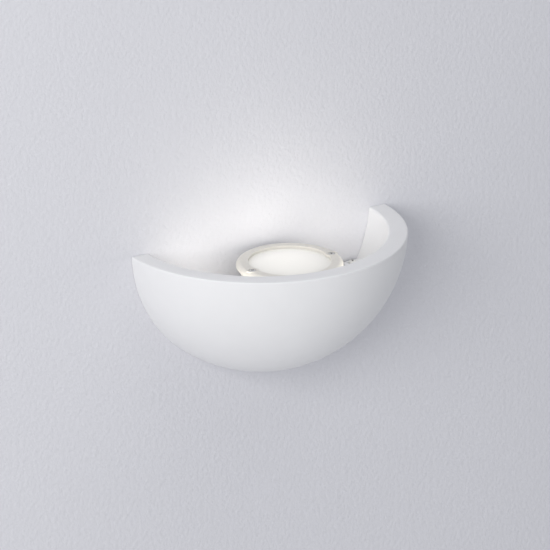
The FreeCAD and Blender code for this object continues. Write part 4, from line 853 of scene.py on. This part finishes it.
    @staticmethod
    def world(context, size):
        """Even pale light all round, with a paler colour where the camera, glass and metal see it."""
        world = bpy.data.worlds.new("pale_room")
        context.scene.world = world
        world.use_nodes = True
        tree = world.node_tree
        room = tree.nodes["Background"]
        room.inputs["Color"].default_value = (0.93, 0.95, 1.0, 1.0)
        room.inputs["Strength"].default_value = size.sky
        seen = add(tree, "Background", {"Color": (0.7, 0.7, 0.73, 1.0), "Strength": 1.0})
        path = add(tree, "LightPath")
        mirror = maths(tree, "MAXIMUM", path.outputs["Is Glossy Ray"], path.outputs["Is Transmission Ray"])
        share = maths(tree, "MAXIMUM", path.outputs["Is Camera Ray"], mirror)
        mix = add(tree, "MixShader", {0: share})
        tree.links.new(room.outputs[0], mix.inputs[1])
        tree.links.new(seen.outputs[0], mix.inputs[2])
        tree.links.new(mix.outputs[0], tree.nodes["World Output"].inputs["Surface"])

    @staticmethod
    def panel_light(name, place, target, width, watts, tint):
        data = bpy.data.lights.new(name, "AREA")
        data.shape = "SQUARE"
        data.size = width
        data.energy = watts
        data.color = tint
        light = bpy.data.objects.new(name, data)
        light.location = place
        light.rotation_euler = (Vector(target) - Vector(place)).to_track_quat("-Z", "Y").to_euler()
        bpy.context.scene.collection.objects.link(light)
        return light

    @staticmethod
    def camera(context, size):
        """Camera on the line through the aim point, which is moved in the picture's own plane."""
        turn_by, lift = size.azimuth, size.elevation
        forward = Vector((math.sin(turn_by) * math.cos(lift), math.cos(turn_by) * math.cos(lift), -math.sin(lift)))
        right = Vector((math.cos(turn_by), -math.sin(turn_by), 0))
        up = right.cross(forward)
        aim = Vector((0, 0, BOWL_HIGH.z)) + right * size.aim_right - up * size.aim_down
        data = bpy.data.cameras.new("photograph_view")
        data.lens = size.lens
        data.clip_end = 50
        camera = bpy.data.objects.new("photograph_view", data)
        axes = Matrix((right, up, -forward)).transposed()
        camera.matrix_world = Matrix.Translation(aim - forward * size.distance) @ axes.to_4x4()
        context.scene.collection.objects.link(camera)
        context.scene.camera = camera


# ------------------------------------------------------------------ panel and registration

OPERATORS = (
    SCONCE_OT_stage,
    SCONCE_OT_bowl,
    SCONCE_OT_lamp_head,
    SCONCE_OT_light_source,
    SCONCE_OT_bracket,
    SCONCE_OT_driver,
    SCONCE_OT_wiring,
    SCONCE_OT_fasteners,
)
SETTINGS = {"sconce_bowl": BowlSettings, "sconce_lamp": LampSettings, "sconce_stage": StageSettings}


class SCONCE_PT_panel(Panel):
    """Lists the pieces in the order in which they are made"""

    bl_idname = "SCONCE_PT_panel"
    bl_label = "Plaster uplighter"
    bl_space_type = "VIEW_3D"
    bl_region_type = "UI"
    bl_category = "Uplighter"

    def draw(self, context):
        for operator in OPERATORS:
            self.layout.operator(operator.bl_idname)


def register():
    for kind in (*SETTINGS.values(), *OPERATORS, SCONCE_PT_panel):
        bpy.utils.register_class(kind)
    for name, kind in SETTINGS.items():
        setattr(bpy.types.Scene, name, PointerProperty(type=kind))


def unregister():
    for name in SETTINGS:
        delattr(bpy.types.Scene, name)
    for kind in (SCONCE_PT_panel, *reversed(OPERATORS), *SETTINGS.values()):
        bpy.utils.unregister_class(kind)


def main():
    """Makes every piece in order."""
    register()
    for operator in OPERATORS:
        family, action = operator.bl_idname.split(".")
        getattr(getattr(bpy.ops, family), action)()


if __name__ == "__main__":
    main()
